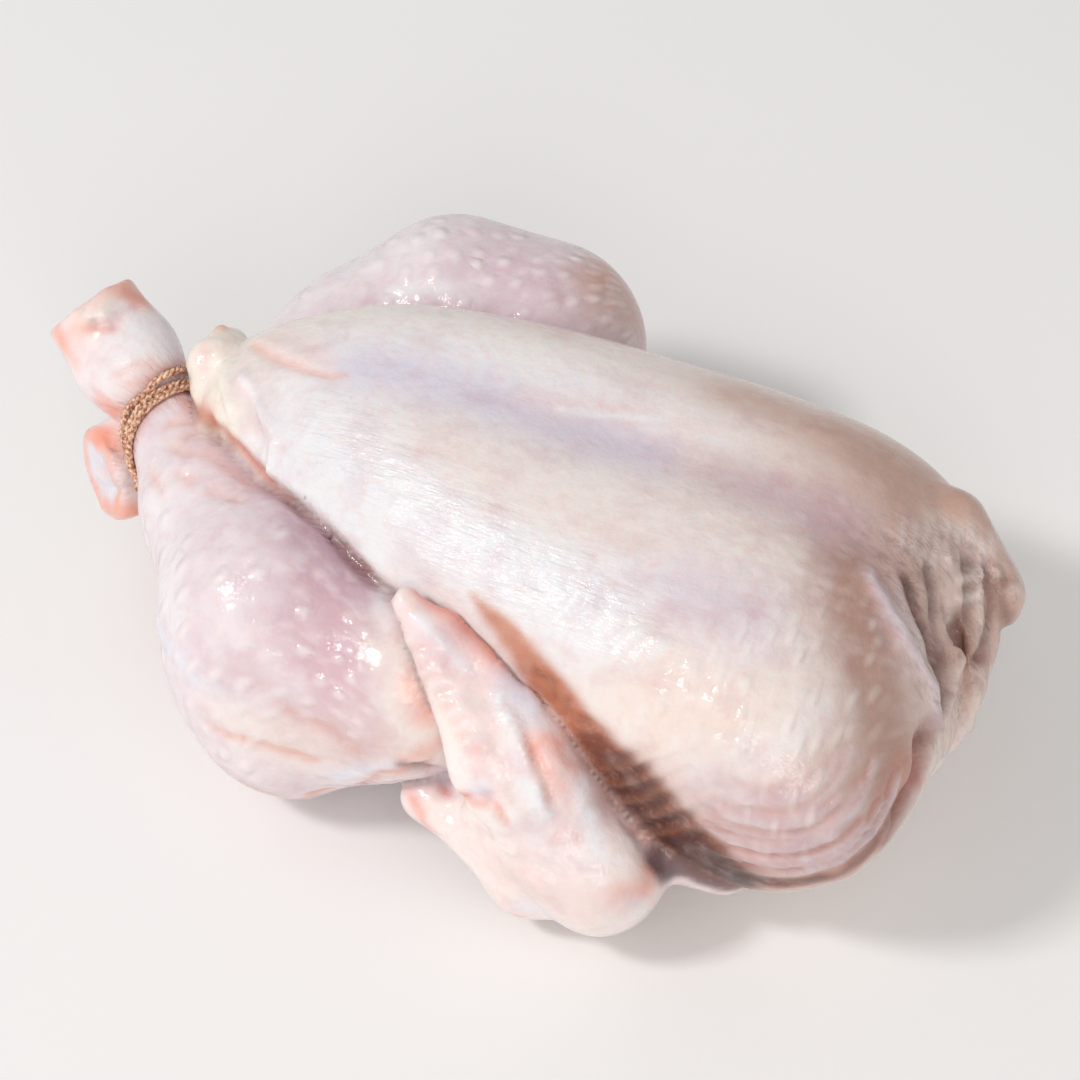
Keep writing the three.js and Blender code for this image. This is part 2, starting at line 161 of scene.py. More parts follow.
def through(stations, sizes, x):
    """Smooth curve through the stations with these sizes, read at x."""
    s, v = np.array(stations, float), np.array(sizes, float)
    slope = np.empty(len(s))
    slope[1:-1] = (v[2:] - v[:-2]) / (s[2:] - s[:-2])
    slope[0] = (v[1] - v[0]) / (s[1] - s[0])
    slope[-1] = (v[-1] - v[-2]) / (s[-1] - s[-2])
    x = np.clip(x, s[0], s[-1])
    i = np.clip(np.searchsorted(s, x, side="right") - 1, 0, len(s) - 2)
    h = s[i + 1] - s[i]
    t = (x - s[i]) / h
    return (
        v[i] * (2 * t**3 - 3 * t**2 + 1)
        + slope[i] * h * (t**3 - 2 * t**2 + t)
        + v[i + 1] * (3 * t**2 - 2 * t**3)
        + slope[i + 1] * h * (t**3 - t**2)
    )


SQUARENESS = 2.5
BREAST_LEAN = 0.07
BREASTBONE_GROOVE = 3.5
BREASTBONE_WIDTH = 17


def trunk(p):
    """Breast and back: rounded sections strung along X, with the groove of the breastbone on top."""
    x, y, z = p.T
    stations = [-110, -100, -80, -55, -15, 25, 62, 92, 114, 128, 135]
    left = through(stations, [4, 18, 32, 48, 63, 70, 76, 80, 77, 59, 6], x)
    right = through(stations, [4, 20, 35, 48, 58, 64, 67, 64, 52, 31, 4], x)
    top = through(stations, [74, 87, 99, 107, 110, 108, 106, 100, 87, 69, 54], x)
    bottom = through(stations, [60, 46, 26, 6, -3, -3, -2, 4, 18, 32, 48], x)
    half = np.where(y < 0, left, right)
    leant = z + BREAST_LEAN * y * np.clip((x + 60) / 120, 0, 1) * np.clip((z - 30) / 40, 0, 1)
    middle, rise = (top + bottom) / 2, (top - bottom) / 2
    across, up = np.abs(y / half), np.abs((leant - middle) / rise)
    round_ = (across**SQUARENESS + up**SQUARENESS) ** (1 / SQUARENESS)
    ends = np.maximum(stations[0] - x, x - stations[-1])
    along = np.clip((x + 70) / 50, 0, 1) * np.clip((118 - x) / 40, 0, 1)
    dip = np.exp(-((y / BREASTBONE_WIDTH) ** 2)) * np.clip((z - middle) / 20, 0, 1)
    groove = BREASTBONE_GROOVE * along * dip
    return np.maximum((round_ - 1) * np.minimum(half, rise), ends) + groove


def neck_end(p):
    pleats = melt(
        4,
        limb(p, (104, -4, 82), (125, -20, 56), 8, 7),
        limb(p, (114, 14, 78), (131, -4, 42), 5, 4),
        limb(p, (110, 34, 74), (126, 27, 62), 12, 10),
        limb(p, (123, 19, 54), (127, 1, 27), 7, 4),
    )
    hollows = melt(
        4,
        limb(p, (121, 4, 79), (134, -13, 46), 4, 6),
        limb(p, (133, -28, 42), (125, -32, 14), 7, 11),
        limb(p, (129, 22, 76), (136, 10, 50), 4, 4),
    )
    return scooped(3, melt(4, trunk(p), pleats), hollows)


def body(p):
    return melt(14, neck_end(p), lump(p, (-98, 0, 19), (20, 16, 10)))


def vent(p):
    return melt(
        6,
        limb(p, (-106, 12, 80), (-104, 3, 80), 5, 8),
        limb(p, (-104, 3, 80), (-93, -16, 71), 8, 8),
        limb(p, (-93, -16, 71), (-74, -35, 63), 8, 6),
    )


def left_leg(p):
    return melt(
        12,
        limb(p, (-30, -42, 38), (-11, -62, 52), 33, 24),
        limb(p, (-11, -62, 52), (-54, -56, 52), 24, 33),
        limb(p, (-11, -62, 52), (-45, -64, 36), 24, 33),
        limb(p, (-54, -56, 52), (-88, -33, 58), 33, 19),
        limb(p, (-88, -33, 58), (-122, -5, 63), 19, 11.5),
    )


def right_leg(p):
    return melt(
        12,
        limb(p, (-30, 42, 40), (-33, 70, 60), 32, 28),
        limb(p, (-33, 70, 60), (-60, 68, 60), 28, 31),
        limb(p, (-33, 70, 60), (-46, 68, 44), 28, 31),
        limb(p, (-60, 68, 60), (-84, 50, 55), 31, 23),
        limb(p, (-84, 50, 55), (-117, 3, 43), 23, 11.5),
    )


def hock(p, waist, end):
    """The end of the shank: it swells beyond the tie and is cut off square at the joint."""
    waist, end = np.array(waist, float), np.array(end, float)
    swell = waist + (end - waist) * 0.45
    axis = (end - waist) / np.linalg.norm(end - waist)
    shank = melt(6, limb(p, waist, swell, 11.5, 15), limb(p, swell, end, 15, 14.5))
    return -melt(2, -shank, -((p - end) @ axis))


CUT_FACES = ((-149, 4, 86), (-134, -22, 45))


def left_hock(p):
    return hock(p, (-122, -5, 63), CUT_FACES[0])


def right_hock(p):
    return hock(p, (-117, 3, 43), CUT_FACES[1])


def wing(p, shoulder, elbow, forearm, heel, web, wrist, knuckle, tip, side):
    """Folded in a Z: upper arm back to the elbow, forearm forward to the wrist, hand back to the tip."""
    outward = (0.52, -0.73 * side, 0.44)
    return melt(
        7,
        limb(p, shoulder, elbow, 15, 6),
        limb(p, elbow, forearm, 6, 10),
        limb(p, forearm, heel, 10, 13),
        limb(p, web, wrist, 9, 14),
        strap(p, wrist, knuckle, (17, 15.5), (12, 8), outward),
        strap(p, knuckle, tip, (15.5, 4), (8, 3.5), outward),
    )


def left_wing(p):
    places = (
        (84, -62, 30), (3, -80, 28), (37, -87, 18), (55, -82, 20),
        (26, -84, 35), (58, -85, 29), (30, -83, 59), (-9, -66, 87),
    )
    return wing(p, *np.array(places, float), -1)


def right_wing(p):
    places = (
        (84, 50, 30), (4, 72, 26), (40, 76, 17), (60, 72, 18),
        (36, 75, 26), (64, 72, 24), (42, 78, 32), (8, 82, 40),
    )
    return wing(p, *np.array(places, float), 1)


PARTS = [body, vent, left_leg, right_leg, left_hock, right_hock, left_wing, right_wing]


def flesh(p):
    return np.min([part(p) for part in PARTS], axis=0)


def slope(shape, p, step=0.3):
    """Distance and outward direction of a shape at each point."""
    here = shape(p)
    rise = np.stack([shape(p + step * axis) - here for axis in np.eye(3)], axis=1) / step
    return here, rise
MM = 0.001
SKIN_GRID = 1.44 * MM

skin_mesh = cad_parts["chicken"].data.copy()
skin = bpy.data.objects.new("chicken_skin", skin_mesh)
bpy.context.collection.objects.link(skin)
bpy.ops.object.select_all(action="DESELECT")
skin.select_set(True)
bpy.context.view_layer.objects.active = skin
bpy.ops.object.mode_set(mode="EDIT")
bpy.ops.mesh.select_all(action="SELECT")
bpy.ops.mesh.remove_doubles(threshold=0.01 * MM)
bpy.ops.object.mode_set(mode="OBJECT")
skin.data.remesh_voxel_size = SKIN_GRID
bpy.ops.object.voxel_remesh()
skin_mesh = skin.data

points = np.empty(len(skin_mesh.vertices) * 3)
skin_mesh.vertices.foreach_get("co", points)
points = points.reshape(-1, 3) / MM
ends = np.empty(len(skin_mesh.edges) * 2, int)
skin_mesh.edges.foreach_get("vertices", ends)
ends = ends.reshape(-1, 2)
neighbours = np.bincount(ends.ravel(), minlength=len(points))[:, None]


def evened(values):
    """Each point's value mixed with the mean of its neighbours'."""
    total = np.zeros_like(values)
    np.add.at(total, ends[:, 0], values[ends[:, 1]])
    np.add.at(total, ends[:, 1], values[ends[:, 0]])
    return 0.5 * values + 0.5 * total / neighbours


def drawn_on(shape, p, passes):
    for _ in range(passes):
        distance, rise = slope(shape, p)
        steep = np.maximum((rise**2).sum(1), 0.2)
        p = p - rise * (np.clip(distance, -1.5, 1.5) / steep)[:, None]
    return p


for _ in range(3):
    points = drawn_on(flesh, evened(points), passes=2)


# The twine's way round the ankles is settled here, because it presses a groove into the skin.
TWINE_RADIUS = 1.2
TWINE_ROUTE = (
    (-119, -8, 78), (-128, -17, 62), (-119, -13, 52), (-105, -5, 43),
    (-117, 3, 28), (-129, 11, 43), (-123, 11, 53), (-112, 7, 65),
)
ROUTE_POINTS = 64
TIGHTENINGS = 260
TURNS_AT = (-3.1, -0.5, 4.0)


def laid_on(route, gap):
    """Points of a twine lifted off the flesh until they lie this far out."""
    distance, rise = slope(flesh, route)
    rise /= np.linalg.norm(rise, axis=1)[:, None]
    return route + rise * np.maximum(gap - distance, 0)[:, None]


def closed_curve(places, count):
    """Points at even steps along a smooth closed curve through the places."""
    p = np.array(places, float)
    before, after, beyond = np.roll(p, 1, 0), np.roll(p, -1, 0), np.roll(p, -2, 0)
    t = np.linspace(0, 1, 12, endpoint=False)[None, :, None]
    p, before, after, beyond = (q[:, None, :] for q in (p, before, after, beyond))
    fine = 0.5 * (
        2 * p
        + (after - before) * t
        + (2 * before - 5 * p + 4 * after - beyond) * t**2
        + (3 * p - before - 3 * after + beyond) * t**3
    )
    fine = fine.reshape(-1, 3)
    fine = np.vstack([fine, fine[:1]])
    way = np.concatenate([[0], np.cumsum(np.linalg.norm(np.diff(fine, axis=0), axis=1))])
    at = np.linspace(0, way[-1], count, endpoint=False)
    return np.stack([np.interp(at, way, fine[:, axis]) for axis in range(3)], axis=1)


twine_loop = closed_curve(TWINE_ROUTE, ROUTE_POINTS)
for _ in range(TIGHTENINGS):
    twine_loop = 0.5 * twine_loop + 0.25 * (np.roll(twine_loop, 1, 0) + np.roll(twine_loop, -1, 0))
    twine_loop = laid_on(twine_loop, TWINE_RADIUS)


def turn_at(shift):
    """A turn of the twine that lies this far to the side of the middle one."""
    _, outward = slope(flesh, twine_loop)
    forward = np.roll(twine_loop, -1, 0) - np.roll(twine_loop, 1, 0)
    aside = np.cross(forward, outward)
    route = twine_loop + shift * aside / np.linalg.norm(aside, axis=1)[:, None]
    for _ in range(4):
        route = laid_on(route, TWINE_RADIUS)
    return route


twine_turns = [turn_at(shift) for shift in TURNS_AT]

# The brushes below work along lines through places on the skin. A place is three numbers in mm, or two:
# then it is where a line of sight through that point of the 1080 x 1080 view meets the skin.
sight = BVHTree.FromPolygons([Vector(c) for c in points], [tuple(f.vertices) for f in skin_mesh.polygons])
eye = np.array(CAMERA_PLACE) / MM
EYE_TO_BIRD = 925
turn = np.array(camera.rotation_euler.to_matrix())

# every point is shaken a little by soft noise, so that no stroke has a ruled edge
SHAKE_LENGTH = 6
noise.seed_set(3)
unsteady = np.array([noise.noise_vector(Vector(p) / SHAKE_LENGTH) for p in points])


def touched(place):
    """The point of the skin that a place stands for, in mm."""
    if len(place) == 3:
        return np.array(sight.find_nearest(Vector(place))[0])
    u, v = (place[0] - VIEW_PIXELS / 2) / FOCAL_PIXELS, (VIEW_PIXELS / 2 - place[1]) / FOCAL_PIXELS
    ray = turn @ np.array([u, v, -1.0])
    met = sight.ray_cast(Vector(eye), Vector(ray / np.linalg.norm(ray)))[0]
    if met is None:
        met = sight.find_nearest(Vector(eye + ray * EYE_TO_BIRD))[0]
    return np.array(met)


nearness = np.array([part(points) for part in PARTS])
PART_NAMES = [part.__name__ for part in PARTS]


def on(*names):
    """Share of each point that belongs to these parts of the bird."""
    chosen = np.array([name in names for name in PART_NAMES])
    return np.clip(0.5 + (nearness[~chosen].min(0) - nearness[chosen].min(0)) / 3, 0, 1)


def drawn(places, width, parts=None, edge=None):
    """How strongly a soft, slightly unsteady brush of this width, drawn through these places, meets each
    point, from 0 to 1. With an edge the brush is even inside its width and fades over the edge's width."""
    path = [touched(place) for place in places]
    p = points + 0.55 * min(width, 5) * unsteady
    gap = np.full(len(points), 1e9)
    for a, b in zip(path, path[1:] or path):
        run = b - a
        t = np.clip((p - a) @ run / max(run @ run, 1e-9), 0, 1)
        gap = np.minimum(gap, ((p - a - t[:, None] * run) ** 2).sum(1))
    if edge is None:
        amount = np.exp(-gap / width**2)
    else:
        amount = np.clip((width - np.sqrt(gap)) / edge + 0.5, 0, 1)
        amount = amount * amount * (3 - 2 * amount)
    return amount if parts is None else amount * on(*parts)


def seen(red, green, blue):
    """A colour as the eye sees it, 0 to 255, in the units of light that shaders add up."""
    c = np.array((red, green, blue), float) / 255
    return np.where(c < 0.04045, c / 12.92, ((c + 0.055) / 1.055) ** 2.4)


WHITE = seen(247, 247, 250)
CREAM = seen(247, 235, 228)
PEACH = seen(244, 216, 200)
LILAC = seen(231, 225, 240)
MAUVE = seen(196, 162, 176)
PINK = seen(253, 216, 214)
SALMON = seen(249, 176, 156)
ORANGE = seen(244, 136, 98)
# the rust, blood, dried blood and umber tones serve as painted shade in creases, grooves, troughs and under
# things; the blood tone is also the real red specks on the shanks
RUSTY_SHADE = seen(198, 112, 82)
BLOOD_AND_SHADE = seen(120, 34, 26)
DEEP_SHADE = seen(66, 18, 12)
FAT = seen(252, 245, 233)
TAN = seen(202, 160, 141)
SHADE_BROWN = seen(104, 56, 42)
BLUISH = seen(232, 235, 246)

# kept at each point: its colour, how many mm it is lifted, and how strongly each kind of bump shows
tint = np.tile(CREAM, (len(points), 1))
height = np.zeros(len(points))
pimples = np.full(len(points), 0.12)
dashes = np.zeros(len(points))
crinkles = np.zeros(len(points))
gathers = np.zeros(len(points))


def laid_out(p, start, end, start_reach, end_reach):
    """Where a point is on the skin rolled out flat: mm along the limb and mm round it from its top."""
    axis = np.array(end, float) - start
    length = np.linalg.norm(axis)
    axis /= length
    side = np.cross(axis, (0, 0, 1.0))
    side /= np.linalg.norm(side)
    away = p - np.array(start, float)
    along = away @ axis
    turned = np.arctan2(away @ side, away @ np.cross(side, axis))
    reach = np.interp(along, (0, length), (start_reach, end_reach))
    return np.stack([along, turned * reach, 0 * along], axis=1)


# follicles and wrinkles follow the skin as it is rolled out round the trunk and each leg, and fade out
# where that pattern closes: at the pole over the knee and at the seam under the leg
TRUNK_LINE = ((-110, 0, 50), (135, 0, 50), 62, 62)
LEG_LINES = (
    ("left_leg", (-11, -62, 52), (-122, -5, 63), 33, 14),
    ("right_leg", (-33, 70, 60), (-117, 3, 43), 31, 14),
)
weave = laid_out(points, *TRUNK_LINE)
even = np.ones(len(points))
nearest = np.argmin(nearness, axis=0)
for part, *limb_ends in LEG_LINES:
    here = nearest == PART_NAMES.index(part)
    weave[here] = laid_out(points[here], *limb_ends)
    start, end = np.array(limb_ends[:2], float)
    axis = (end - start) / np.linalg.norm(end - start)
    away = points[here] - start
    aside = np.linalg.norm(away - (away @ axis)[:, None] * axis, axis=1)
    reach = np.interp(away @ axis, (0, np.linalg.norm(end - start)), limb_ends[2:])
    below = (math.pi * reach - np.abs(weave[here][:, 1])) / 12
    even[here] = np.clip((aside / reach - 0.45) / 0.35, 0, 1) * np.clip(below, 0, 1)


def paint(colour, strength, width, *places, parts=None, edge=None):
    """Mixes a colour into the skin along a stroke of the brush."""
    amount = (strength * drawn(places, width, parts, edge))[:, None]
    tint[:] = tint + (colour - tint) * amount


def raise_(by, width, *places, parts=None, edge=None):
    """Lifts the skin by so many mm along a stroke of the brush, or sinks it where they are negative."""
    height[:] += by * drawn(places, width, parts, edge)


def paint_strokes(strokes):
    """Paints in turn. A stroke has its colour, strength, width, the parts it stays on and its places; where
    it has an edge, the width comes with it."""
    for colour, strength, size, parts, *places in strokes:
        width, edge = size if isinstance(size, tuple) else (size, None)
        paint(colour, strength, width, *places, parts=parts, edge=edge)


def raise_strokes(strokes):
    """Lifts or sinks in turn. A stroke has its mm, its width, the parts it stays on and its places."""
    for by, width, parts, *places in strokes:
        raise_(by, width, *places, parts=parts)


def cover(colour, parts):
    """Lays a colour over whole parts of the bird."""
    tint[:] = tint + (colour - tint) * on(*parts)[:, None]


def meeting(first, second, width):
    """How near each point is to the crease where these two parts of the bird meet, from 0 to 1."""
    a, b = nearness[PART_NAMES.index(first)], nearness[PART_NAMES.index(second)]
    return np.exp(-(((a - b) / width) ** 2)) * np.exp(-((np.minimum(a, b) / 2) ** 2))


BODY, LEGS = ("body",), ("left_leg", "right_leg")
THIGH, FAR_THIGH = ("left_leg",), ("right_leg",)
WINGS, HOCKS = ("left_wing", "right_wing"), ("left_hock", "right_hock")
HAND = ("left_wing",)

# thighs and drumsticks show the dark meat through thin skin, the wings and shanks are pink
cover(seen(238, 224, 229), LEGS)
cover(seen(255, 243, 239), WINGS)
cover(seen(248, 240, 241), HOCKS)
cover(FAT, ("vent",))
pimples += 0.85 * np.clip(2 * np.maximum(on("left_leg"), on("right_leg")) - 1, 0, 1)
pimples *= 1 - on("vent", *HOCKS, *WINGS)

# breast: bluish white on the left slope, lilac along the breastbone, and painted tan, brown and mauve
# towards the neck and along the far edge as painted shade where it turns from the light
BREAST_COLOURS = (
    (seen(240, 240, 245), 0.9, 26, BODY, (290, 440), (400, 505), (500, 560), (590, 600)),
    (WHITE, 0.6, 16, BODY, (330, 345), (440, 345), (560, 375)),
    (LILAC, 0.9, 12, BODY, (370, 366), (470, 392), (560, 425), (640, 450)),
    (MAUVE, 0.22, 10, BODY, (560, 425), (650, 455), (760, 490), (830, 520)),
    (MAUVE, 0.50, 11, BODY, (750, 486), (800, 505), (850, 545)),
    (PEACH, 0.3, 8, BODY, (430, 440), (500, 490), (600, 530), (700, 560)),
    (WHITE, 0.5, 9, BODY, (580, 385), (660, 400), (740, 425)),
    (PINK, 0.35, 5, BODY, (540, 400), (610, 413), (690, 430)),
    (WHITE, 0.9, 1.3, BODY, (562, 408), (598, 415), (671, 420)),
    (WHITE, 0.6, 1.1, BODY, (640, 428), (690, 432), (730, 447)),
    (LILAC, 0.6, 14, BODY, (690, 590), (740, 620)),
    (MAUVE, 0.22, 12, BODY, (700, 600), (760, 600)),
    (PEACH, 0.5, 8, BODY, (420, 300), (540, 326), (660, 355), (760, 388)),
    # painted shade: the far edge and the neck end, turned from the light, are painted tan, brown and mauve
    (TAN, 0.8, 15, BODY, (750, 395), (830, 425), (930, 480)),
    (seen(190, 150, 134), 0.75, 20, BODY, (880, 470), (910, 530), (880, 600)),
    (MAUVE, 0.45, 10, BODY, (835, 520), (858, 580), (876, 650)),
    (seen(176, 136, 122), 0.85, 11, BODY, (850, 570), (862, 640), (880, 720), (896, 770)),
    (TAN, 0.75, 18, BODY, (960, 520), (990, 600), (955, 680)),
    (PEACH, 0.45, 20, BODY, (660, 700), (730, 760), (820, 790)),
    (WHITE, 0.5, 7, BODY, (700, 770), (790, 750), (830, 700)),
    # painted shade down the neck end's lower side
    (seen(182, 146, 132), 0.35, 13, BODY, (868, 690), (874, 750), (852, 810)),
)
paint_strokes(BREAST_COLOURS)

PLUCKED_LOBE = ((780, 600), (800, 680), (740, 740))
DASHED_LOBE = ((800, 680), (870, 690), (840, 780), (790, 850))
WRINKLED_SLOPE = ((330, 450), (420, 510), (520, 570), (640, 640))
pimples += 0.35 * drawn(PLUCKED_LOBE, 24, BODY)
dashes += drawn(DASHED_LOBE, 22, BODY)
gathers += 0.8 * drawn(WRINKLED_SLOPE, 16, BODY)

# fine pleats fan out over the breast from where the wing's elbow pulls the skin; white painted along their
# crests is painted glints
ELBOW_PULL = (618, 822)
for pleat in range(11):
    lean = math.radians(84 - 7.5 * pleat)
    reaches = (34 + 5 * (pleat % 3), 104 + 14 * (pleat * 5 % 4))
    start, end = (
        (ELBOW_PULL[0] + reach * math.cos(lean), ELBOW_PULL[1] - reach * math.sin(lean)) for reach in reaches
    )
    raise_(1.0, 1.5, start, end, parts=BODY)
    paint(WHITE, 0.45, 1.3, start, end, parts=BODY)
FIRST_PLEAT = (546, 634)
for pleat in range(9):
    start = (FIRST_PLEAT[0] + 11 * pleat, FIRST_PLEAT[1] + 5 * pleat)
    end = (start[0] + 30 + 5 * (pleat % 2), start[1] - 34 + 3 * (pleat % 3))
    raise_(0.7, 1.4, start, end, parts=BODY)
    paint(WHITE, 0.5, 1.2, start, end, parts=BODY)

# arc of fat and thin skin where the breast ends over the vent
VENT_ARC_COLOURS = (
    (PINK, 0.45, 5, BODY, (275, 340), (305, 350), (318, 362)),
    (SALMON, 0.6, 1.3, BODY, (247, 337), (267, 354), (301, 369), (322, 375), (345, 375)),
    (PINK, 0.5, 1.4, BODY, (256, 330), (290, 322), (324, 314), (358, 305)),
)
VENT_ARC_RELIEF = (
    (-0.8, 1.6, BODY, (247, 337), (267, 354), (301, 369), (330, 376)),
    (0.8, 3, BODY, (252, 330), (272, 345), (300, 358)),
)
paint_strokes(VENT_ARC_COLOURS)
raise_strokes(VENT_ARC_RELIEF)

# fat lip over the vent, with the thin grey skin inside it
VENT_LIP_COLOURS = (
    (seen(240, 226, 223), 1.0, (7, 2), None, (236, 390), (252, 420), (262, 455)),
    (FAT, 1.0, (8, 3), None, (212, 350), (205, 375), (222, 420)),
    (SALMON, 0.8, 2.5, ("vent", "body"), (221, 331)),
    (PINK, 0.7, 2.4, ("vent",), (192, 345), (190, 375)),
    (SALMON, 0.5, 1.5, None, (240, 380), (251, 395)),
    (WHITE, 1.0, 2, None, (242, 378), (262, 408), (275, 438), (270, 476)),
    (SALMON, 0.7, 1.4, None, (226, 434), (246, 458), (268, 482)),
    # painted shade: the recess between the drumstick and the lip is painted brown red and umber
    (seen(232, 160, 134), 0.9, 3.0, None, (190, 404), (202, 413), (210, 418)),
    (SHADE_BROWN, 0.25, 1.3, None, (190, 402), (200, 410), (212, 420)),
)
VENT_LIP_RELIEF = (
    (-1.8, 4, ("vent", "body"), (248, 400), (258, 440)),
    (1.5, 1.8, None, (242, 378), (262, 408), (275, 438), (270, 474)),
    (2.0, 2.4, ("vent", "body"), (221, 331)),
    (1.6, 4, ("vent",), (192, 350), (188, 372), (196, 396)),
    (-1.3, 2.0, ("vent",), (206, 352), (206, 376), (214, 400)),
    (1.2, 2.2, ("vent", "body"), (222, 350), (224, 380), (232, 410)),
)
paint_strokes(VENT_LIP_COLOURS)
raise_strokes(VENT_LIP_RELIEF)

# left thigh: its groove against the breast, painted dark with mauve painted shade beside it, mottled top,
# dark meat, bluish rim and creamy knee
THIGH_GROOVE = ((209, 418), (268, 479), (306, 515), (348, 553), (388, 596))
THIGH_COLOURS = (
    (MAUVE, 0.6, 7, THIGH, (240, 450), (306, 515), (348, 553), (388, 593)),
    (WHITE, 0.9, 3, BODY, (250, 440), (300, 486), (340, 520), (380, 560)),
    # painted shade: the crease is drawn dark rust and brown
    (RUSTY_SHADE, 0.8, 1.5, None, *THIGH_GROOVE),
    (SHADE_BROWN, 1.0, 1.2, None, (290, 500), (340, 546), (370, 576), (392, 612)),
    (MAUVE, 0.7, 10, THIGH, (300, 530), (345, 568), (378, 600)),
    (seen(168, 122, 138), 0.55, 4, THIGH, (322, 535), (352, 562), (382, 594)),
    (MAUVE, 0.35, 12, THIGH, (320, 580), (352, 630), (350, 690)),
    (PINK, 0.35, 6, THIGH, (180, 430), (210, 450), (240, 478)),
    (WHITE, 0.5, 9, THIGH, (158, 460), (160, 540), (170, 610)),
    (WHITE, 1.0, 2.4, THIGH, (380, 592), (384, 628)),
    (BLUISH, 0.9, 3.2, THIGH, (158, 620), (178, 655), (200, 682), (240, 695), (295, 698)),
    (CREAM, 0.7, 12, THIGH, (235, 720), (300, 745), (380, 750)),
    (CREAM, 0.9, 12, THIGH, (400, 640), (410, 690), (425, 745)),
    (seen(228, 206, 200), 0.5, 9, THIGH, (290, 730), (330, 750), (370, 755)),
    (SALMON, 0.6, 4.0, THIGH, (412, 680), (424, 715)),
    (ORANGE, 0.3, 2.2, THIGH, (428, 706)),
)
paint_strokes(THIGH_COLOURS)
raise_(-1.6, 1.7, *THIGH_GROOVE)
THIGH_MOTTLES = (
    ((172, 424), (196, 418), (220, 440)),
    ((168, 446), (190, 452)),
    ((205, 452), (224, 462), (246, 482)),
    ((176, 474), (192, 480)),
    ((150, 470), (162, 492)),
    ((210, 490), (240, 500)),
    ((184, 436), (200, 430)),
)
for streak in THIGH_MOTTLES:
    paint(seen(244, 190, 176), 0.5, 2.2, *streak, parts=THIGH)
    raise_(-0.7, 1.6, *streak, parts=THIGH)
DARK_MEAT_COLOURS = (
    (seen(212, 160, 172), 0.5, 8, THIGH, (318, 590), (338, 640), (350, 676)),
    (seen(214, 168, 178), 0.4, 7, THIGH, (290, 640), (330, 700)),
)
paint_strokes(DARK_MEAT_COLOURS)
THIGH_LINES = (
    ((209, 726), (248, 741), (277, 750), (315, 760)),
    ((289, 712), (330, 729), (356, 750)),
    ((312, 794), (353, 785), (383, 770), (427, 765), (456, 750)),
)
for line in THIGH_LINES:
    paint(seen(228, 156, 130), 0.7, 1.5, *line, parts=THIGH)
    raise_(-0.9, 1.5, *line, parts=THIGH)
THIGH_FOOT_COLOURS = (
    (SALMON, 0.5, 2.6, THIGH, (388, 764), (420, 752), (440, 744)),
    (BLUISH, 0.8, 2.5, THIGH, (336, 776), (362, 766), (392, 762)),
    (seen(216, 182, 186), 0.6, 5, THIGH, (240, 678), (275, 700), (330, 722), (370, 740)),
    # painted shade in the fold between the knee and the wing
    (SHADE_BROWN, 0.8, 1.6, None, (403, 764), (430, 771)),
    (TAN, 0.6, 3, THIGH, (230, 774), (280, 796), (330, 796)),
    (seen(224, 152, 126), 0.5, 1.8, THIGH, (225, 780), (262, 794), (303, 799), (333, 788)),
)
THIGH_FOOT_RELIEF = (
    (0.8, 3, THIGH, (158, 620), (178, 655), (200, 682), (240, 695)),
    (1.2, 7, THIGH, (350, 780), (385, 772)),
)
paint_strokes(THIGH_FOOT_COLOURS)
raise_strokes(THIGH_FOOT_RELIEF)
SMOOTH_KNEE = ((395, 640), (420, 740), (300, 770))
SMOOTH_EDGE = ((158, 440), (158, 640))
SMOOTH_ANKLE = ((150, 420), (200, 440), (240, 480))
for smooth, width in ((SMOOTH_KNEE, 12), (SMOOTH_EDGE, 8), (SMOOTH_ANKLE, 14)):
    pimples *= 1 - 0.85 * drawn(smooth, width)

# right thigh, browner towards its knee, with a pale band under the breast's edge that is a painted highlight
FAR_THIGH_COLOURS = (
    (MAUVE, 0.45, 16, FAR_THIGH, (470, 265), (560, 280)),
    (TAN, 0.7, 12, FAR_THIGH, (640, 320), (606, 296)),
    # painted highlight along the breast's edge
    (WHITE, 0.7, 3.5, FAR_THIGH, (383, 294), (430, 290), (465, 294)),
    (WHITE, 0.5, 12, FAR_THIGH, (300, 300), (360, 262), (420, 240)),
    (seen(206, 150, 124), 0.6, 7, FAR_THIGH, (-22, 84, 76), (-16, 78, 88)),
)
paint_strokes(FAR_THIGH_COLOURS)
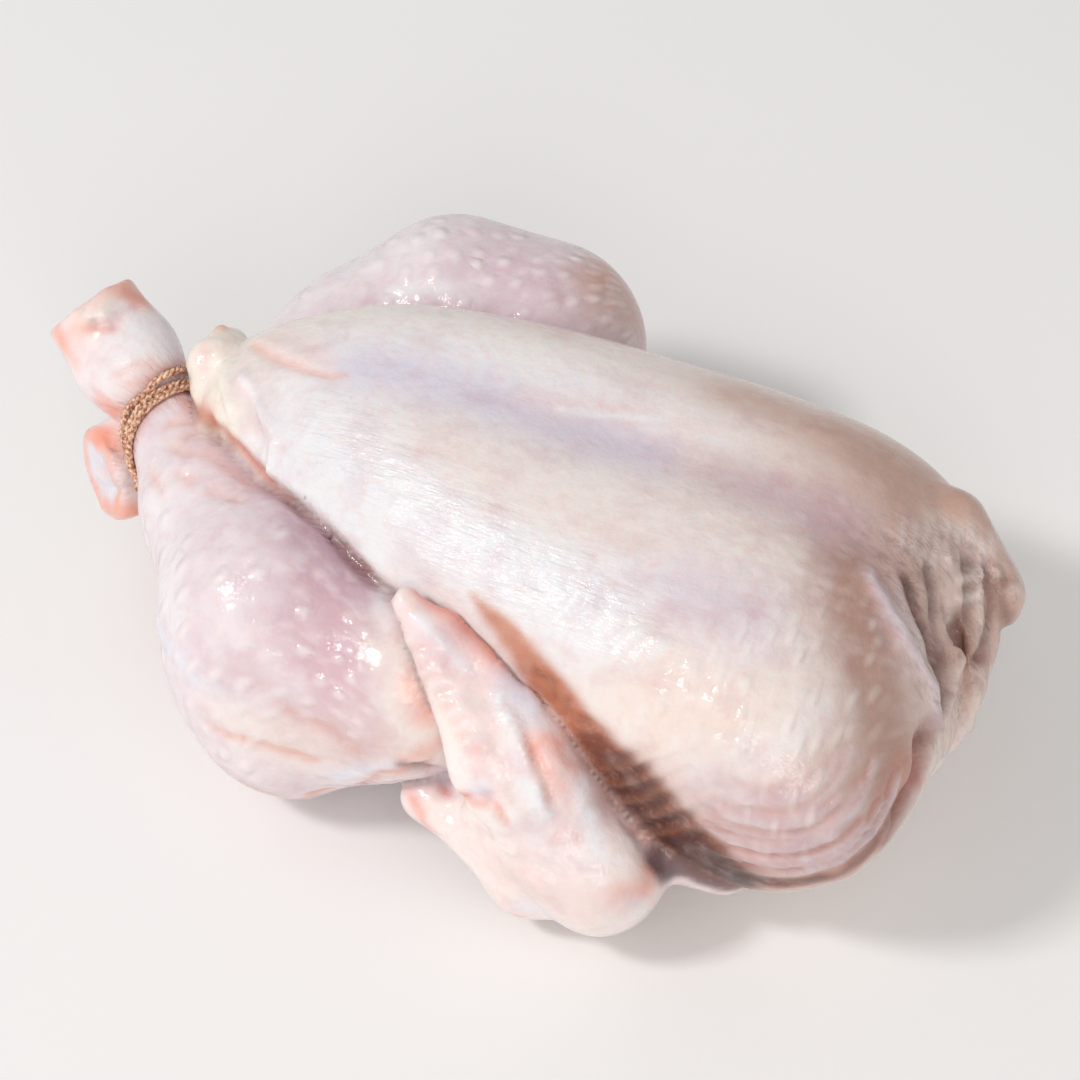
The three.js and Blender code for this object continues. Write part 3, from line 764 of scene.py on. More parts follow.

# left wing: red upper edge, pink skin, quill stumps down the back edge, sinew and thumb, with wet highlights
# painted white and painted shade near black under its shoulder
HAND_EDGE = (
    (-6.6, -63.2, 88.6), (2.5, -65, 83.9), (11.7, -66.7, 79.2), (20.8, -68.5, 74.5), (30, -70.3, 69.8),
    (39.1, -72.1, 65.1), (47.7, -72, 56), (57.3, -72.3, 46.2), (66.9, -72.6, 36.5),
)
HAND_COLOURS = (
    (seen(255, 226, 226), 0.8, 9, HAND, (420, 620), (455, 665), (490, 710)),
    (seen(255, 234, 230), 0.8, 9, HAND, (480, 700), (510, 770), (560, 830)),
    (PINK, 0.5, 7, HAND, (560, 770), (600, 810)),
    (SALMON, 0.6, 3.6, HAND, *HAND_EDGE[:5]),
    (seen(255, 138, 94), 1.0, 2.3, HAND, *HAND_EDGE[:5]),
    (SALMON, 0.8, 2.4, HAND, *HAND_EDGE[5:]),
    (ORANGE, 0.5, 1.4, HAND, *HAND_EDGE[5:]),
    # painted highlight: a wet streak along the upper edge
    (WHITE, 1.0, 1.6, HAND, (418, 618), (444, 644), (466, 668)),
    (FAT, 0.5, 3.5, HAND, (405, 642), (424, 682), (448, 735)),
    (BLUISH, 0.9, 3.4, HAND, (508, 684), (528, 708), (540, 730)),
    (WHITE, 1.0, 2.0, HAND, (495, 690), (508, 722), (520, 755)),
    (WHITE, 1.0, 3.2, HAND, (520, 755), (530, 780), (542, 812)),
    (seen(255, 220, 216), 0.9, 6.0, HAND, (540, 746), (560, 764), (584, 792)),
    (SALMON, 0.5, 1.4, HAND, (534, 750), (548, 768), (560, 786)),
    (SALMON, 0.5, 1.3, HAND, (550, 746), (568, 764), (584, 786)),
    (ORANGE, 0.5, 1.4, HAND, (532, 748), (545, 738), (562, 744)),
    # painted highlight on the wrist
    (WHITE, 0.9, 3.5, HAND, (578, 785), (590, 820), (600, 848)),
    (WHITE, 0.5, 5, HAND, (520, 820), (560, 860), (600, 870)),
    (PINK, 0.3, 8, HAND, (440, 820), (500, 860), (560, 885)),
    (SALMON, 0.8, 1.8, HAND, (400, 780), (430, 826), (478, 884), (518, 916)),
    (ORANGE, 0.8, 1.3, HAND, (427, 775), (445, 790), (462, 797)),
    (seen(236, 130, 92), 0.7, 1.2, HAND, (468, 804), (486, 804)),
    (seen(236, 130, 92), 0.7, 1.2, HAND, (497, 808), (507, 824)),
    (SALMON, 0.8, 4, HAND, (618, 893), (645, 890), (650, 870)),
    # painted shade: near black under the shoulder, beside the wrist
    (DEEP_SHADE, 0.9, (6, 4), None, (75, -79, 36), (84, -77, 32), (93, -76, 31)),
    (BLUISH, 0.5, 2.6, HAND, (628, 899), (640, 905)),
    (BLUISH, 0.7, 3, HAND, (560, 922), (520, 905)),
    (seen(236, 212, 208), 0.6, 9, HAND, (510, 872), (556, 900), (604, 900)),
    (SALMON, 0.45, 1.6, HAND, (529, 738), (538, 770), (550, 800)),
    (LILAC, 0.8, 3.0, None, (448, 776), (480, 790)),
    (seen(228, 116, 78), 0.8, 1.3, HAND, (428, 773), (444, 788), (463, 797)),
)
HAND_RELIEF = (
    (3.4, 4.5, HAND, *HAND_EDGE[1:5]),
    (-2.5, 6, HAND, *HAND_EDGE[7:]),
    (0.8, 1.5, HAND, (418, 618), (444, 644), (466, 668)),
    (-1.2, 4.5, HAND, (450, 650), (490, 700)),
    (1.2, 1.8, HAND, (497, 695), (511, 722), (525, 755), (545, 812)),
    (-0.8, 2.0, HAND, (514, 698), (530, 733), (536, 756)),
    (1.4, 4.4, HAND, (542, 750), (562, 768), (582, 796)),
    (-0.8, 1.5, HAND, (530, 742), (540, 770), (552, 800)),
    (-0.5, 2.0, HAND, (486, 720), (504, 760), (520, 800)),
    (-2.2, 2.4, None, (420, 768), (446, 786), (470, 797), (490, 799)),
    (-0.9, 1.5, HAND, (487, 803), (502, 812), (504, 824)),
    (0.9, 4, HAND, (430, 800), (480, 850), (540, 890)),
    (-0.9, 2.4, HAND, (450, 812), (500, 850), (560, 870)),
)
paint_strokes(HAND_COLOURS)
raise_strokes(HAND_RELIEF)
FIRST_LUMP = (430, 820)
for lump_number in range(9):
    u = FIRST_LUMP[0] + 17 * lump_number
    v = FIRST_LUMP[1] + 9 * lump_number - 14 * (lump_number % 3)
    raise_(0.8 - 1.5 * (lump_number % 2), 2.0, (u, v), (u + 16, v + 12), parts=HAND)
FIRST_QUILL = (408, 642)
for quill in range(8):
    u = FIRST_QUILL[0] + 8.0 * quill + 3 * (quill % 2)
    v = FIRST_QUILL[1] + 14.5 * quill
    slant = 5 * (quill * 5 % 3)
    raise_(0.8 + 0.35 * (quill % 3), 1.9, (u, v), (u + 8 + slant, v - 7 + slant), parts=HAND)
    raise_(-0.7, 1.5, (u + 3, v + 8), (u + 12, v + 4), parts=HAND)
    paint(WHITE, 0.5, 1.3, (u + 2, v), (u + 12, v - 4), parts=HAND)
    paint(SALMON, 0.35, 1.4, (u + 2, v + 7), (u + 14, v + 4), parts=HAND)

# shanks: orange cuffs, white gristle and red specks at the joints
SHANK_PATCHES = (
    (PINK, 0.9, 6.5, HOCKS, (60, 350), (128, 280)),
    (SALMON, 1.0, 4.6, HOCKS, (126, 278), (140, 294)),
    (ORANGE, 0.6, 2.8, HOCKS, (132, 280), (144, 300)),
    (seen(255, 200, 190), 0.9, 4.6, HOCKS, (60, 340), (72, 356)),
    (SALMON, 0.7, 2.0, HOCKS, (58, 332), (62, 344)),
    (FAT, 0.9, 3.4, HOCKS, (84, 330), (110, 304)),
    (ORANGE, 0.8, 1.6, HOCKS, (88, 330), (112, 326)),
    (BLOOD_AND_SHADE, 0.7, 1.0, HOCKS, (94, 320), (94, 328)),
    (BLOOD_AND_SHADE, 0.6, 1.0, HOCKS, (110, 322), (112, 330)),
    (WHITE, 0.8, 6.0, HOCKS, (122, 314), (138, 330)),
    (SALMON, 1.0, 4.5, HOCKS, (-131.6, -17, 68), (-138, -19, 52)),
    (PINK, 0.9, 3.6, HOCKS, (90, 440), (92, 480)),
    (ORANGE, 0.8, 3.0, HOCKS, (88, 428), (90, 440)),
    (WHITE, 1.0, 4.0, HOCKS, (110, 470), (126, 480)),
    (SALMON, 1.0, 4.2, HOCKS, (100, 496), (120, 508)),
    (ORANGE, 0.9, 3.0, HOCKS, (104, 508), (136, 514)),
    (WHITE, 0.9, 2.2, HOCKS, (128, 484), (138, 504)),
    (ORANGE, 0.8, 1.6, HOCKS, (100, 440), (110, 446)),
    (BLOOD_AND_SHADE, 0.7, 1.0, HOCKS, (104, 438), (104, 440)),
    (BLOOD_AND_SHADE, 0.7, 0.9, HOCKS, (110, 447), (112, 449)),
)
paint_strokes(SHANK_PATCHES)
SHANK_LINES = (((116, 374), (140, 366), (168, 372)), ((124, 386), (150, 380)), ((96, 392), (112, 404)))
for line in SHANK_LINES:
    paint(SALMON, 0.4, 1.6, *line, parts=HOCKS)
    raise_(-0.4, 1.5, *line, parts=HOCKS)
SHANK_COLOURS = (
    (LILAC, 0.7, 5, HOCKS, (172, 332), (184, 350)),
    (MAUVE, 0.35, 3, HOCKS, (184, 340), (180, 368)),
    (PINK, 0.5, 3.0, HOCKS, (80, 344), (96, 328), (116, 322), (138, 306)),
)
SHANK_RELIEF = (
    (0.9, 3.4, HOCKS, (82, 318), (108, 294)),
    (-0.9, 1.6, HOCKS, (80, 344), (96, 328), (116, 322), (138, 306)),
    (1.0, 2.4, HOCKS, (104, 314)),
    (1.4, 3.2, HOCKS, (90, 426)),
    (-1.5, 2.0, HOCKS, (98, 440), (112, 446), (120, 458)),
    (1.2, 2.6, HOCKS, (110, 470), (124, 480)),
    (-1.3, 1.8, HOCKS, (98, 486), (116, 492), (128, 484)),
    (1.2, 3.0, HOCKS, (104, 504), (132, 512)),
)
paint_strokes(SHANK_COLOURS)
raise_strokes(SHANK_RELIEF)

# far wing, tucked low: the same red edge, sinew and quill stumps as the near one
FAR_HAND = ("right_wing",)
FAR_WING_COLOURS = (
    (PINK, 0.6, 8, FAR_HAND, (20, 86, 38), (44, 86, 32)),
    (SALMON, 0.8, 3.2, FAR_HAND, (8, 80, 43), (30, 73, 42), (50, 67, 39), (66, 66, 34)),
    (ORANGE, 0.5, 2.4, FAR_HAND, (6, 82, 41), (22, 76, 42)),
    (WHITE, 1.0, 2.4, FAR_HAND, (16, 86, 38), (40, 90, 32), (62, 86, 24)),
    (SALMON, 0.6, 3, FAR_HAND, (34, 78, 12), (10, 78, 20), (2, 76, 26)),
)
FAR_WING_RELIEF = (
    (1.0, 2.0, FAR_HAND, (16, 86, 38), (40, 90, 32), (62, 86, 24)),
    (-1.0, 2.0, FAR_HAND, (14, 82, 42), (38, 80, 40), (58, 76, 36)),
)
paint_strokes(FAR_WING_COLOURS)
raise_strokes(FAR_WING_RELIEF)
FIRST_FAR_QUILL = (12, 88, 34)
for quill in range(7):
    x, y, z = FIRST_FAR_QUILL[0] + 4.6 * quill, FIRST_FAR_QUILL[1], FIRST_FAR_QUILL[2] - quill
    raise_(1.0 + 0.3 * (quill % 3), 1.8, (x, y, z), (x + 2, y + 2, z - 4), parts=FAR_HAND)
    raise_(-0.7, 1.5, (x + 2.3, y, z), (x + 4, y + 2, z - 4), parts=FAR_HAND)
    paint(FAT, 0.5, 1.5, (x, y, z), (x + 2, y + 2, z - 4), parts=FAR_HAND)

# far side of the breast, the tail and the cut faces of the shanks
FAR_BREAST_COLOURS = (
    (WHITE, 0.6, 20, BODY, (-40, 44, 92), (10, 56, 88), (50, 56, 84)),
    (PEACH, 0.45, 20, BODY, (10, 66, 50), (60, 66, 50)),
    (LILAC, 0.5, 12, BODY, (40, 60, 76), (70, 60, 70)),
    # painted shade: the tan strokes carry the far edge's painted shade on round the far side
    (TAN, 0.5, 18, BODY, (112, 40, 70), (122, 30, 40)),
    (TAN, 0.35, 26, BODY, (30, 60, 76), (80, 60, 66), (108, 44, 50)),
    (TAN, 0.2, 30, BODY, (-5, 58, 84), (60, 62, 70)),
    (PINK, 0.5, 7, BODY, (-60, 40, 84), (-80, 30, 80)),
)
paint_strokes(FAR_BREAST_COLOURS)
FAR_DASHED = ((70, 64, 60), (100, 54, 60), (95, 55, 35))
FAR_PLUCKED = ((30, 66, 70), (60, 64, 70))
FAR_WRINKLED = ((0, 62, 75), (50, 64, 45), (70, 64, 30))
dashes += drawn(FAR_DASHED, 20, BODY)
pimples += 0.4 * drawn(FAR_PLUCKED, 22, BODY)
gathers += 0.8 * drawn(FAR_WRINKLED, 16, BODY)
TAIL_COLOURS = (
    (PEACH, 0.8, 14, BODY, (-104, 0, 22)),
    (SALMON, 0.6, 6, BODY, (-118, 0, 20), (-112, 8, 14), (-112, -8, 14)),
)
paint_strokes(TAIL_COLOURS)
TAIL_DENTS = (-8, -3, 3, 8)
for aside in TAIL_DENTS:
    raise_(-0.9, 1.6, (-112, aside, 26), (-118, aside * 0.7, 18), parts=BODY)
for face in CUT_FACES:
    paint(SALMON, 0.7, 14, face, edge=5, parts=HOCKS)
    paint(BLUISH, 0.9, 9, face, edge=4, parts=HOCKS)
    paint(PINK, 0.7, 3, face, parts=HOCKS)
    raise_(-1.2, 4, face, parts=HOCKS)

# painted shade: mauve and dark brown lines, sunk a little, where legs and wings lie against the body
CREASES = (
    (("body", "left_leg"), 0.8),
    (("body", "right_leg"), 0.8),
    (("body", "left_wing"), 0.4),
    (("body", "right_wing"), 0.8),
    (("left_leg", "left_wing"), 0.6),
    (("right_leg", "right_wing"), 0.8),
)
for pair, strength in CREASES:
    tint += (MAUVE - tint) * (0.5 * strength * meeting(*pair, 6) * on(pair[1]))[:, None]
    tint += (SHADE_BROWN - tint) * (0.9 * strength * meeting(*pair, 1.2))[:, None]
    height -= 0.8 * strength * meeting(*pair, 1.8)
lapped = np.maximum(meeting("body", "left_leg", 5), meeting("body", "right_leg", 5))
pimples *= (1 - lapped) * even
gathers *= (1 - lapped) * even

# neck end: a bright ridge edges the breast; beyond it lie grooves painted brown as painted shade, and
# gathered skin
NECK_HOLLOW = ((905, 560), (925, 640), (945, 720))
NECK_FLAP = ((960, 560), (990, 600), (975, 650), (955, 720))
crinkles += drawn(NECK_HOLLOW, 12) + drawn(NECK_FLAP, 14)
RIDGE = ((869, 578), (883, 607), (907, 648), (931, 687), (935, 725))
NECK_RIDGE_COLOURS = (
    (seen(236, 226, 234), 0.95, 2.4, None, *RIDGE),
    (seen(224, 210, 212), 0.6, 4.5, None, (900, 594), (914, 630), (936, 690), (938, 716)),
    (TAN, 0.5, 6, BODY, (850, 590), (862, 640), (880, 690)),
)
paint_strokes(NECK_RIDGE_COLOURS)
raise_(2.0, 3.0, *RIDGE)
# the grooves are sunk and painted brown as painted shade
NECK_GROOVES = (
    (((908, 578), (922, 620), (938, 662), (944, 700)), 2.8),
    (((930, 570), (934, 620), (944, 660)), 1.8),
    (((955, 620), (958, 660)), 1.2),
    (((966, 562), (966, 610), (962, 650)), 1.8),
    (((984, 570), (986, 610), (980, 655)), 1.2),
    (((1003, 580), (1005, 620), (996, 650)), 1.2),
)
for groove, depth in NECK_GROOVES:
    raise_(-depth, 1.9, *groove)
    paint(SHADE_BROWN, 0.2 * depth + 0.35, 2.2, *groove)
NECK_FOLDS = (
    (((945, 560), (948, 619), (953, 678), (951, 698), (939, 733)), 1.4),
    (((958, 600), (974, 596)), 0.7),
    (((958, 580), (976, 574)), 0.7),
    (((975, 570), (977, 630)), 1.2),
    (((994, 572), (998, 640)), 1.4),
    (((1012, 590), (1012, 640)), 1.0),
)
for fold, rise in NECK_FOLDS:
    raise_(rise, 1.5, *fold)
    paint(CREAM, 0.75, 1.3, *fold)
NECK_FLAP_COLOURS = (
    # painted shade: dark red in the notch under the flap
    (BLOOD_AND_SHADE, 0.7, 2.2, None, (980, 660), (1001, 661)),
    (PEACH, 0.6, 2.2, None, (945, 742), (952, 748)),
    (CREAM, 0.5, 4, None, (930, 520), (960, 530), (985, 545)),
)
NECK_FLAP_RELIEF = (
    (2.0, 9, None, (988, 600), (990, 640)),
    (-2.2, 1.8, None, (978, 660), (1002, 660)),
    (2.2, 3.5, None, (954, 655), (956, 735)),
)
paint_strokes(NECK_FLAP_COLOURS)
raise_strokes(NECK_FLAP_RELIEF)
FIRST_HATCH = (905, 520)
for hatch in range(9):
    u = FIRST_HATCH[0] + 11 * hatch
    v = FIRST_HATCH[1] + 3 * (hatch * 5 % 4) + 2 * hatch
    raise_(0.7, 1.4, (u, v), (u - 4, v + 32))
    paint(WHITE, 0.3, 1.3, (u, v), (u - 4, v + 30))
# painted shade: dark red and brown where the neck end's lower edge turns under
NECK_EDGE_SHADE = (
    (BLOOD_AND_SHADE, 0.9, 4.5, None, (928, 742), (920, 780), (905, 812), (888, 838)),
    (seen(186, 104, 92), 0.7, 2.0, None, (921, 752), (922, 784)),
)
NECK_EDGE = ((925, 742), (918, 780), (902, 812))
paint_strokes(NECK_EDGE_SHADE)
raise_(-5.0, 4.5, *NECK_EDGE)

# the breast's lower edge bunches up in arcs, bluish white on the crests as painted highlights and rust brown
# between them as painted shade
# painted shade: brown over the lobe's lower part, with a greyish lilac across its middle
LOBE_COLOURS = (
    (seen(188, 148, 132), 0.8, 18, BODY, (890, 760), (860, 830), (800, 862), (720, 850)),
    (seen(206, 184, 190), 0.5, 14, BODY, (720, 800), (770, 830), (820, 830)),
)
paint_strokes(LOBE_COLOURS)
RIM = ((904, 782), (894, 814), (876, 842), (850, 866), (815, 880), (770, 883), (730, 874), (700, 856))
dashes *= 1 - 0.9 * drawn(RIM, 22)
# painted shade: rust, brown and near black along the rim underneath
RIM_SHADE = (
    (RUSTY_SHADE, 0.75, 7, BODY, *RIM),
    (SHADE_BROWN, 0.75, 3.6, BODY, *RIM[1:]),
    (DEEP_SHADE, 0.8, 2.6, BODY, *RIM[4:]),
)
paint_strokes(RIM_SHADE)
LOBE_CENTRE = (742, 680)
for arc in range(12):
    shrink = 0.955 - 0.038 * arc + 0.011 * (arc * 7 % 3)
    first = (arc * 5) % 4
    for begin, end in ((first, first + 2 + arc % 2), (first + 2 + arc % 2, 6 + arc % 2)):
        shrink -= 0.008 if begin else 0
        crest, trough = (
            [[c + by * (at - c) for at, c in zip(place, LOBE_CENTRE)] for place in RIM[begin : end + 1]]
            for by in (shrink, 0.978 * shrink)
        )
        raise_(1.0 - 0.06 * arc, 1.4, *crest, parts=BODY)
        raise_(-0.9 + 0.05 * arc, 1.3, *trough, parts=BODY)
        paint(BLUISH, 0.75 - 0.04 * arc, 1.2, *crest, parts=BODY)
        paint(RUSTY_SHADE, 0.75 - 0.05 * arc, 1.3, *trough, parts=BODY)

# painted shadow: the wing's shadow on the side of the breast, a brown wedge painted darker down towards the
# wrist and near black under it
WING_SHADOW = (
    (472, 594, 0.4), (490, 614, 2.0), (512, 640, 3.6), (540, 676, 5.2), (568, 714, 6.4),
    (598, 750, 7.5), (634, 790, 11), (664, 822, 11), (704, 854, 7.5), (748, 876, 3.5), (790, 884, 1.5),
)


def wedge_of(stations, edge):
    """A brush like the others, but with its half width given at each place."""
    path = [(touched(station[:2]), station[2]) for station in stations]
    p = points + 1.2 * unsteady
    inside = np.full(len(points), -1e9)
    for (a, a_width), (b, b_width) in zip(path, path[1:]):
        t = np.clip((p - a) @ (b - a) / ((b - a) @ (b - a)), 0, 1)
        gap = np.linalg.norm(p - a - t[:, None] * (b - a), axis=1)
        inside = np.maximum(inside, a_width + (b_width - a_width) * t - gap)
    amount = np.clip(inside / edge + 0.5, 0, 1)
    return amount * amount * (3 - 2 * amount) * on("body")


WING_SHADOW_COLOURS = (
    (seen(190, 130, 110), 0.6, 6, 22),
    (PEACH, 0.6, 0, 7),
    (seen(206, 132, 98), 0.85, 0, 2.6),
    (seen(182, 102, 68), 0.7, 3, 8),
    (seen(120, 66, 50), 0.85, 5, 8),
    (DEEP_SHADE, 0.85, 6, 9),
)
for colour, strength, first, edge in WING_SHADOW_COLOURS:
    tint += (colour - tint) * (strength * wedge_of(WING_SHADOW[first:], edge))[:, None]
# painted shade: near black under the wrist
SHADE_UNDER_WRIST = ((640, 818), (664, 850), (700, 872), (744, 880))
paint(seen(46, 10, 6), 1.0, 5, *SHADE_UNDER_WRIST, parts=BODY)
# wrinkles in the painted shadow: sunk and painted darker as painted shade, each with a raised lip painted
# lighter as painted light
WING_SHADOW_CRACKS = (
    ((534, 672), (552, 682), (556, 700)),
    ((566, 700), (572, 716), (592, 722)),
    ((596, 760), (622, 758), (650, 748), (686, 738)),
    ((606, 776), (640, 768), (676, 754)),
    ((618, 794), (652, 784), (690, 768)),
    ((632, 812), (668, 798), (704, 786)),
    ((652, 828), (690, 814), (724, 806)),
)
CRACK_LIP = (4, 8)
shade = wedge_of(WING_SHADOW, 9)
for crack in WING_SHADOW_CRACKS:
    tint += (SHADE_BROWN - tint) * (0.45 * shade * drawn(crack, 1.1))[:, None]
    height -= 0.7 * drawn(crack, 1.4, BODY)
    lip = [(u + CRACK_LIP[0], v + CRACK_LIP[1]) for u, v in crack]
    tint += (seen(206, 138, 104) - tint) * (0.3 * shade * drawn(lip, 1.2))[:, None]
    height += 0.6 * drawn(lip, 1.4, BODY)

# the tie sinks into the skin, painted rust where it presses as painted shade in the groove, and gathers it
# into folds
PRESSED_WIDTH = 3.0
GATHERED_WIDTH = 7.0
tie_gap = np.full(len(points), 1e9)
for route in twine_turns:
    for place in route:
        tie_gap = np.minimum(tie_gap, ((points - place) ** 2).sum(1))
pressed = np.exp(-tie_gap / PRESSED_WIDTH**2)
tint += (RUSTY_SHADE - tint) * (0.55 * pressed)[:, None]
gathers += np.exp(-tie_gap / GATHERED_WIDTH**2)

tint[:] = evened(tint)
distance, outward = slope(flesh, points)
for _ in range(5):
    outward = evened(outward)
outward /= np.linalg.norm(outward, axis=1)[:, None]
points = points + outward * height[:, None]
points[:, 2] = np.maximum(points[:, 2], 0)

skin_mesh.vertices.foreach_set("co", (points * MM).ravel())
skin_mesh.update()
skin_mesh.materials.clear()
bpy.ops.object.shade_smooth()
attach(skin, "root")
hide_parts("chicken")

layer = skin_mesh.attributes.new("tint", "FLOAT_COLOR", "POINT")
layer.data.foreach_set("color", np.column_stack([tint, np.ones(len(tint))]).ravel())
layer = skin_mesh.attributes.new("weave", "FLOAT_VECTOR", "POINT")
layer.data.foreach_set("vector", weave.ravel())
for name, values in (("pimples", pimples), ("dashes", dashes), ("crinkles", crinkles), ("gathers", gathers)):
    layer = skin_mesh.attributes.new(name, "FLOAT", "POINT")
    layer.data.foreach_set("value", np.clip(values, 0, 1))

skin_finish = bpy.data.materials.new("skin_finish")
skin_finish.use_nodes = True
skin_mesh.materials.append(skin_finish)
nodes, links = skin_finish.node_tree.nodes, skin_finish.node_tree.links
shader = nodes["Principled BSDF"]
shader.inputs["Roughness"].default_value = 0.5
shader.inputs["Specular IOR Level"].default_value = 0.3
shader.inputs["Subsurface Weight"].default_value = 0.25
shader.inputs["Subsurface Radius"].default_value = (1.0, 0.45, 0.3)
shader.inputs["Subsurface Scale"].default_value = 2.5 * MM
shader.inputs["Coat Weight"].default_value = 0.6
shader.inputs["Coat Roughness"].default_value = 0.08


def node(kind, **settings):
    """A new node in the material that is being made."""
    made = nodes.new(kind)
    for name, value in settings.items():
        setattr(made, name, value)
    return made


def attribute(name):
    return node("ShaderNodeAttribute", attribute_name=name)


def noise_node(vector, scale, detail, roughness):
    """Soft noise from 0 to 1."""
    made = node("ShaderNodeTexNoise")
    made.inputs["Scale"].default_value = scale
    made.inputs["Detail"].default_value = detail
    made.inputs["Roughness"].default_value = roughness
    links.new(vector, made.inputs["Vector"])
    return made.outputs["Fac"]


def times(a, b):
    """The product of two values, each a number or a node's output."""
    made = node("ShaderNodeMath", operation="MULTIPLY")
    for socket, value in zip(made.inputs, (a, b)):
        if isinstance(value, (int, float)):
            socket.default_value = value
        else:
            links.new(value, socket)
    return made.outputs[0]


def ranged(value, low, high, blend="LINEAR"):
    """The value carried from low to high onto 0 to 1."""
    made = node("ShaderNodeMapRange", interpolation_type=blend)
    made.inputs["From Min"].default_value = low
    made.inputs["From Max"].default_value = high
    links.new(value, made.inputs["Value"])
    return made.outputs["Result"]


def stretched(vector, along, around):
    """Coordinates whose unit is this many mm along and around the limb."""
    made = node("ShaderNodeMapping")
    made.inputs["Scale"].default_value = (1 / along, 1 / around, 1)
    links.new(vector, made.inputs["Vector"])
    return made.outputs["Vector"]


def domes(vector, reach, unevenness):
    """Small rounded bumps, one to a cell and of differing heights."""
    cells = node("ShaderNodeTexVoronoi", voronoi_dimensions="2D")
    cells.inputs["Scale"].default_value = 1
    cells.inputs["Randomness"].default_value = unevenness
    links.new(vector, cells.inputs["Vector"])
    rise = ranged(cells.outputs["Distance"], reach, 0.0, "SMOOTHERSTEP")
    each = node("ShaderNodeSeparateColor")
    links.new(cells.outputs["Color"], each.inputs["Color"])
    return times(rise, each.outputs["Red"])


def tinted(colour, tone, amount):
    """The colour moved towards a tone by this amount."""
    mix = node("ShaderNodeMix", data_type="RGBA")
    mix.inputs["B"].default_value = (*tone, 1)
    links.new(colour, mix.inputs["A"])
    links.new(amount, mix.inputs["Factor"])
    return mix.outputs["Result"]


def bumped(relief, depth, strength, under=None):
    """The surface direction over a relief of this depth, laid over what is under it."""
    made = node("ShaderNodeBump")
    made.inputs["Distance"].default_value = depth
    made.inputs["Strength"].default_value = strength
    links.new(relief, made.inputs["Height"])
    if under is not None:
        links.new(under, made.inputs["Normal"])
    return made.outputs["Normal"]


place = node("ShaderNodeTexCoord").outputs["Object"]
flat = attribute("weave").outputs["Vector"]

# plucked follicles: low paler domes on the thighs, drawn out into dashes on the breast near the neck
on_thighs = attribute("pimples").outputs["Fac"]
follicles = times(domes(stretched(flat, along=7.4, around=6.2), reach=0.5, unevenness=0.7), on_thighs)
on_breast = attribute("dashes").outputs["Fac"]
dashed = times(domes(stretched(flat, along=4.0, around=9.0), reach=0.5, unevenness=0.8), on_breast)
dappled = ranged(noise_node(stretched(flat, along=9, around=5), 1.0, 3, 0.5), 0.5, 0.68)
dark_meat = times(dappled, on_thighs)

# the skin draws into fine wrinkles along the body and into folds by the tie
drawn_out = noise_node(stretched(flat, along=16, around=3.2), 1.0, 4, 0.6)
wrinkles = times(drawn_out, attribute("gathers").outputs["Fac"])

# and hangs in fine upright crinkles at the neck, with brown painted into their hollows as painted shade
upright = node("ShaderNodeMapping")
upright.inputs["Scale"].default_value = (240, 330, 34)
upright.inputs["Rotation"].default_value = (0, math.radians(-12), 0)
links.new(place, upright.inputs["Vector"])
hanging = noise_node(upright.outputs["Vector"], 1.0, 4, 0.6)
at_neck = attribute("crinkles").outputs["Fac"]
neck_hollow_shade = times(ranged(hanging, 0.5, 0.36), at_neck)
neck_crinkles = times(hanging, at_neck)

# the painted colours are veiled in soft blotches, then tinged: flecks, dark meat, follicles, and painted
# shade in the neck's hollows
veil = node("ShaderNodeMix", data_type="RGBA", blend_type="MULTIPLY")
veil.inputs["B"].default_value = (0.90, 0.82, 0.84, 1)
links.new(ranged(noise_node(place, 70, 4, 0.6), 0.48, 0.72), veil.inputs["Factor"])
links.new(attribute("tint").outputs["Color"], veil.inputs["A"])
colour = veil.outputs["Result"]
TINGES = (
    (ranged(noise_node(place, 260, 3, 0.6), 0.52, 0.75), 0.2, seen(240, 180, 166)),
    (dark_meat, 0.35, seen(252, 240, 242)),
    (follicles, 0.7, seen(250, 240, 240)),
    (dashed, 0.5, seen(252, 244, 238)),
    (neck_hollow_shade, 0.3, SHADE_BROWN),
)
for where, strength, tone in TINGES:
    colour = tinted(colour, tone, times(where, strength))
links.new(colour, shader.inputs["Base Color"])

RELIEFS = (
    (follicles, 1.1 * MM, 0.8),
    (dashed, 0.7 * MM, 0.8),
    (wrinkles, 1.9 * MM, 0.85),
    (neck_crinkles, 1.7 * MM, 0.8),
    (noise_node(place, 120, 4, 0.55), 1.6 * MM, 0.45),
    (noise_node(place, 420, 4, 0.6), 0.4 * MM, 0.45),
)
normal = None
for relief, depth, strength in RELIEFS:
    normal = bumped(relief, depth, strength, under=normal)
links.new(normal, shader.inputs["Normal"])
links.new(normal, shader.inputs["Coat Normal"])

# ----------------------------------------------------------------------------------------------------
# Twine: brown kitchen string of three plies, wound round the crossed ankles and knotted underneath.
# ----------------------------------------------------------------------------------------------------
PLY_RADIUS = 0.56
LAY = 6.5
TURN_POINTS = 420
KNOT_UNDER = (-124, 10, 33)
KNOT_POINTS = 150
LEAD_POINTS = 40
FIBRES = 90
FIBRE_RADIUS = 0.07


def string(name, paths, radius, closed):
    """Round threads along these paths, as one mesh object."""
    curve = bpy.data.curves.new(name, "CURVE")
    curve.dimensions = "3D"
    curve.bevel_depth = radius * MM
    curve.bevel_resolution = 2
    curve.use_fill_caps = True
    for path in paths:
        thread = curve.splines.new("POLY")
        thread.points.add(len(path) - 1)
        thread.use_cyclic_u = closed
        for point, place in zip(thread.points, path):
            point.co = (*(place * MM), 1)
    made = bpy.data.objects.new(name, curve)
    bpy.context.collection.objects.link(made)
    bpy.ops.object.select_all(action="DESELECT")
    made.select_set(True)
    bpy.context.view_layer.objects.active = made
    bpy.ops.object.convert(target="MESH")
    bpy.ops.object.shade_smooth()
    return bpy.context.object


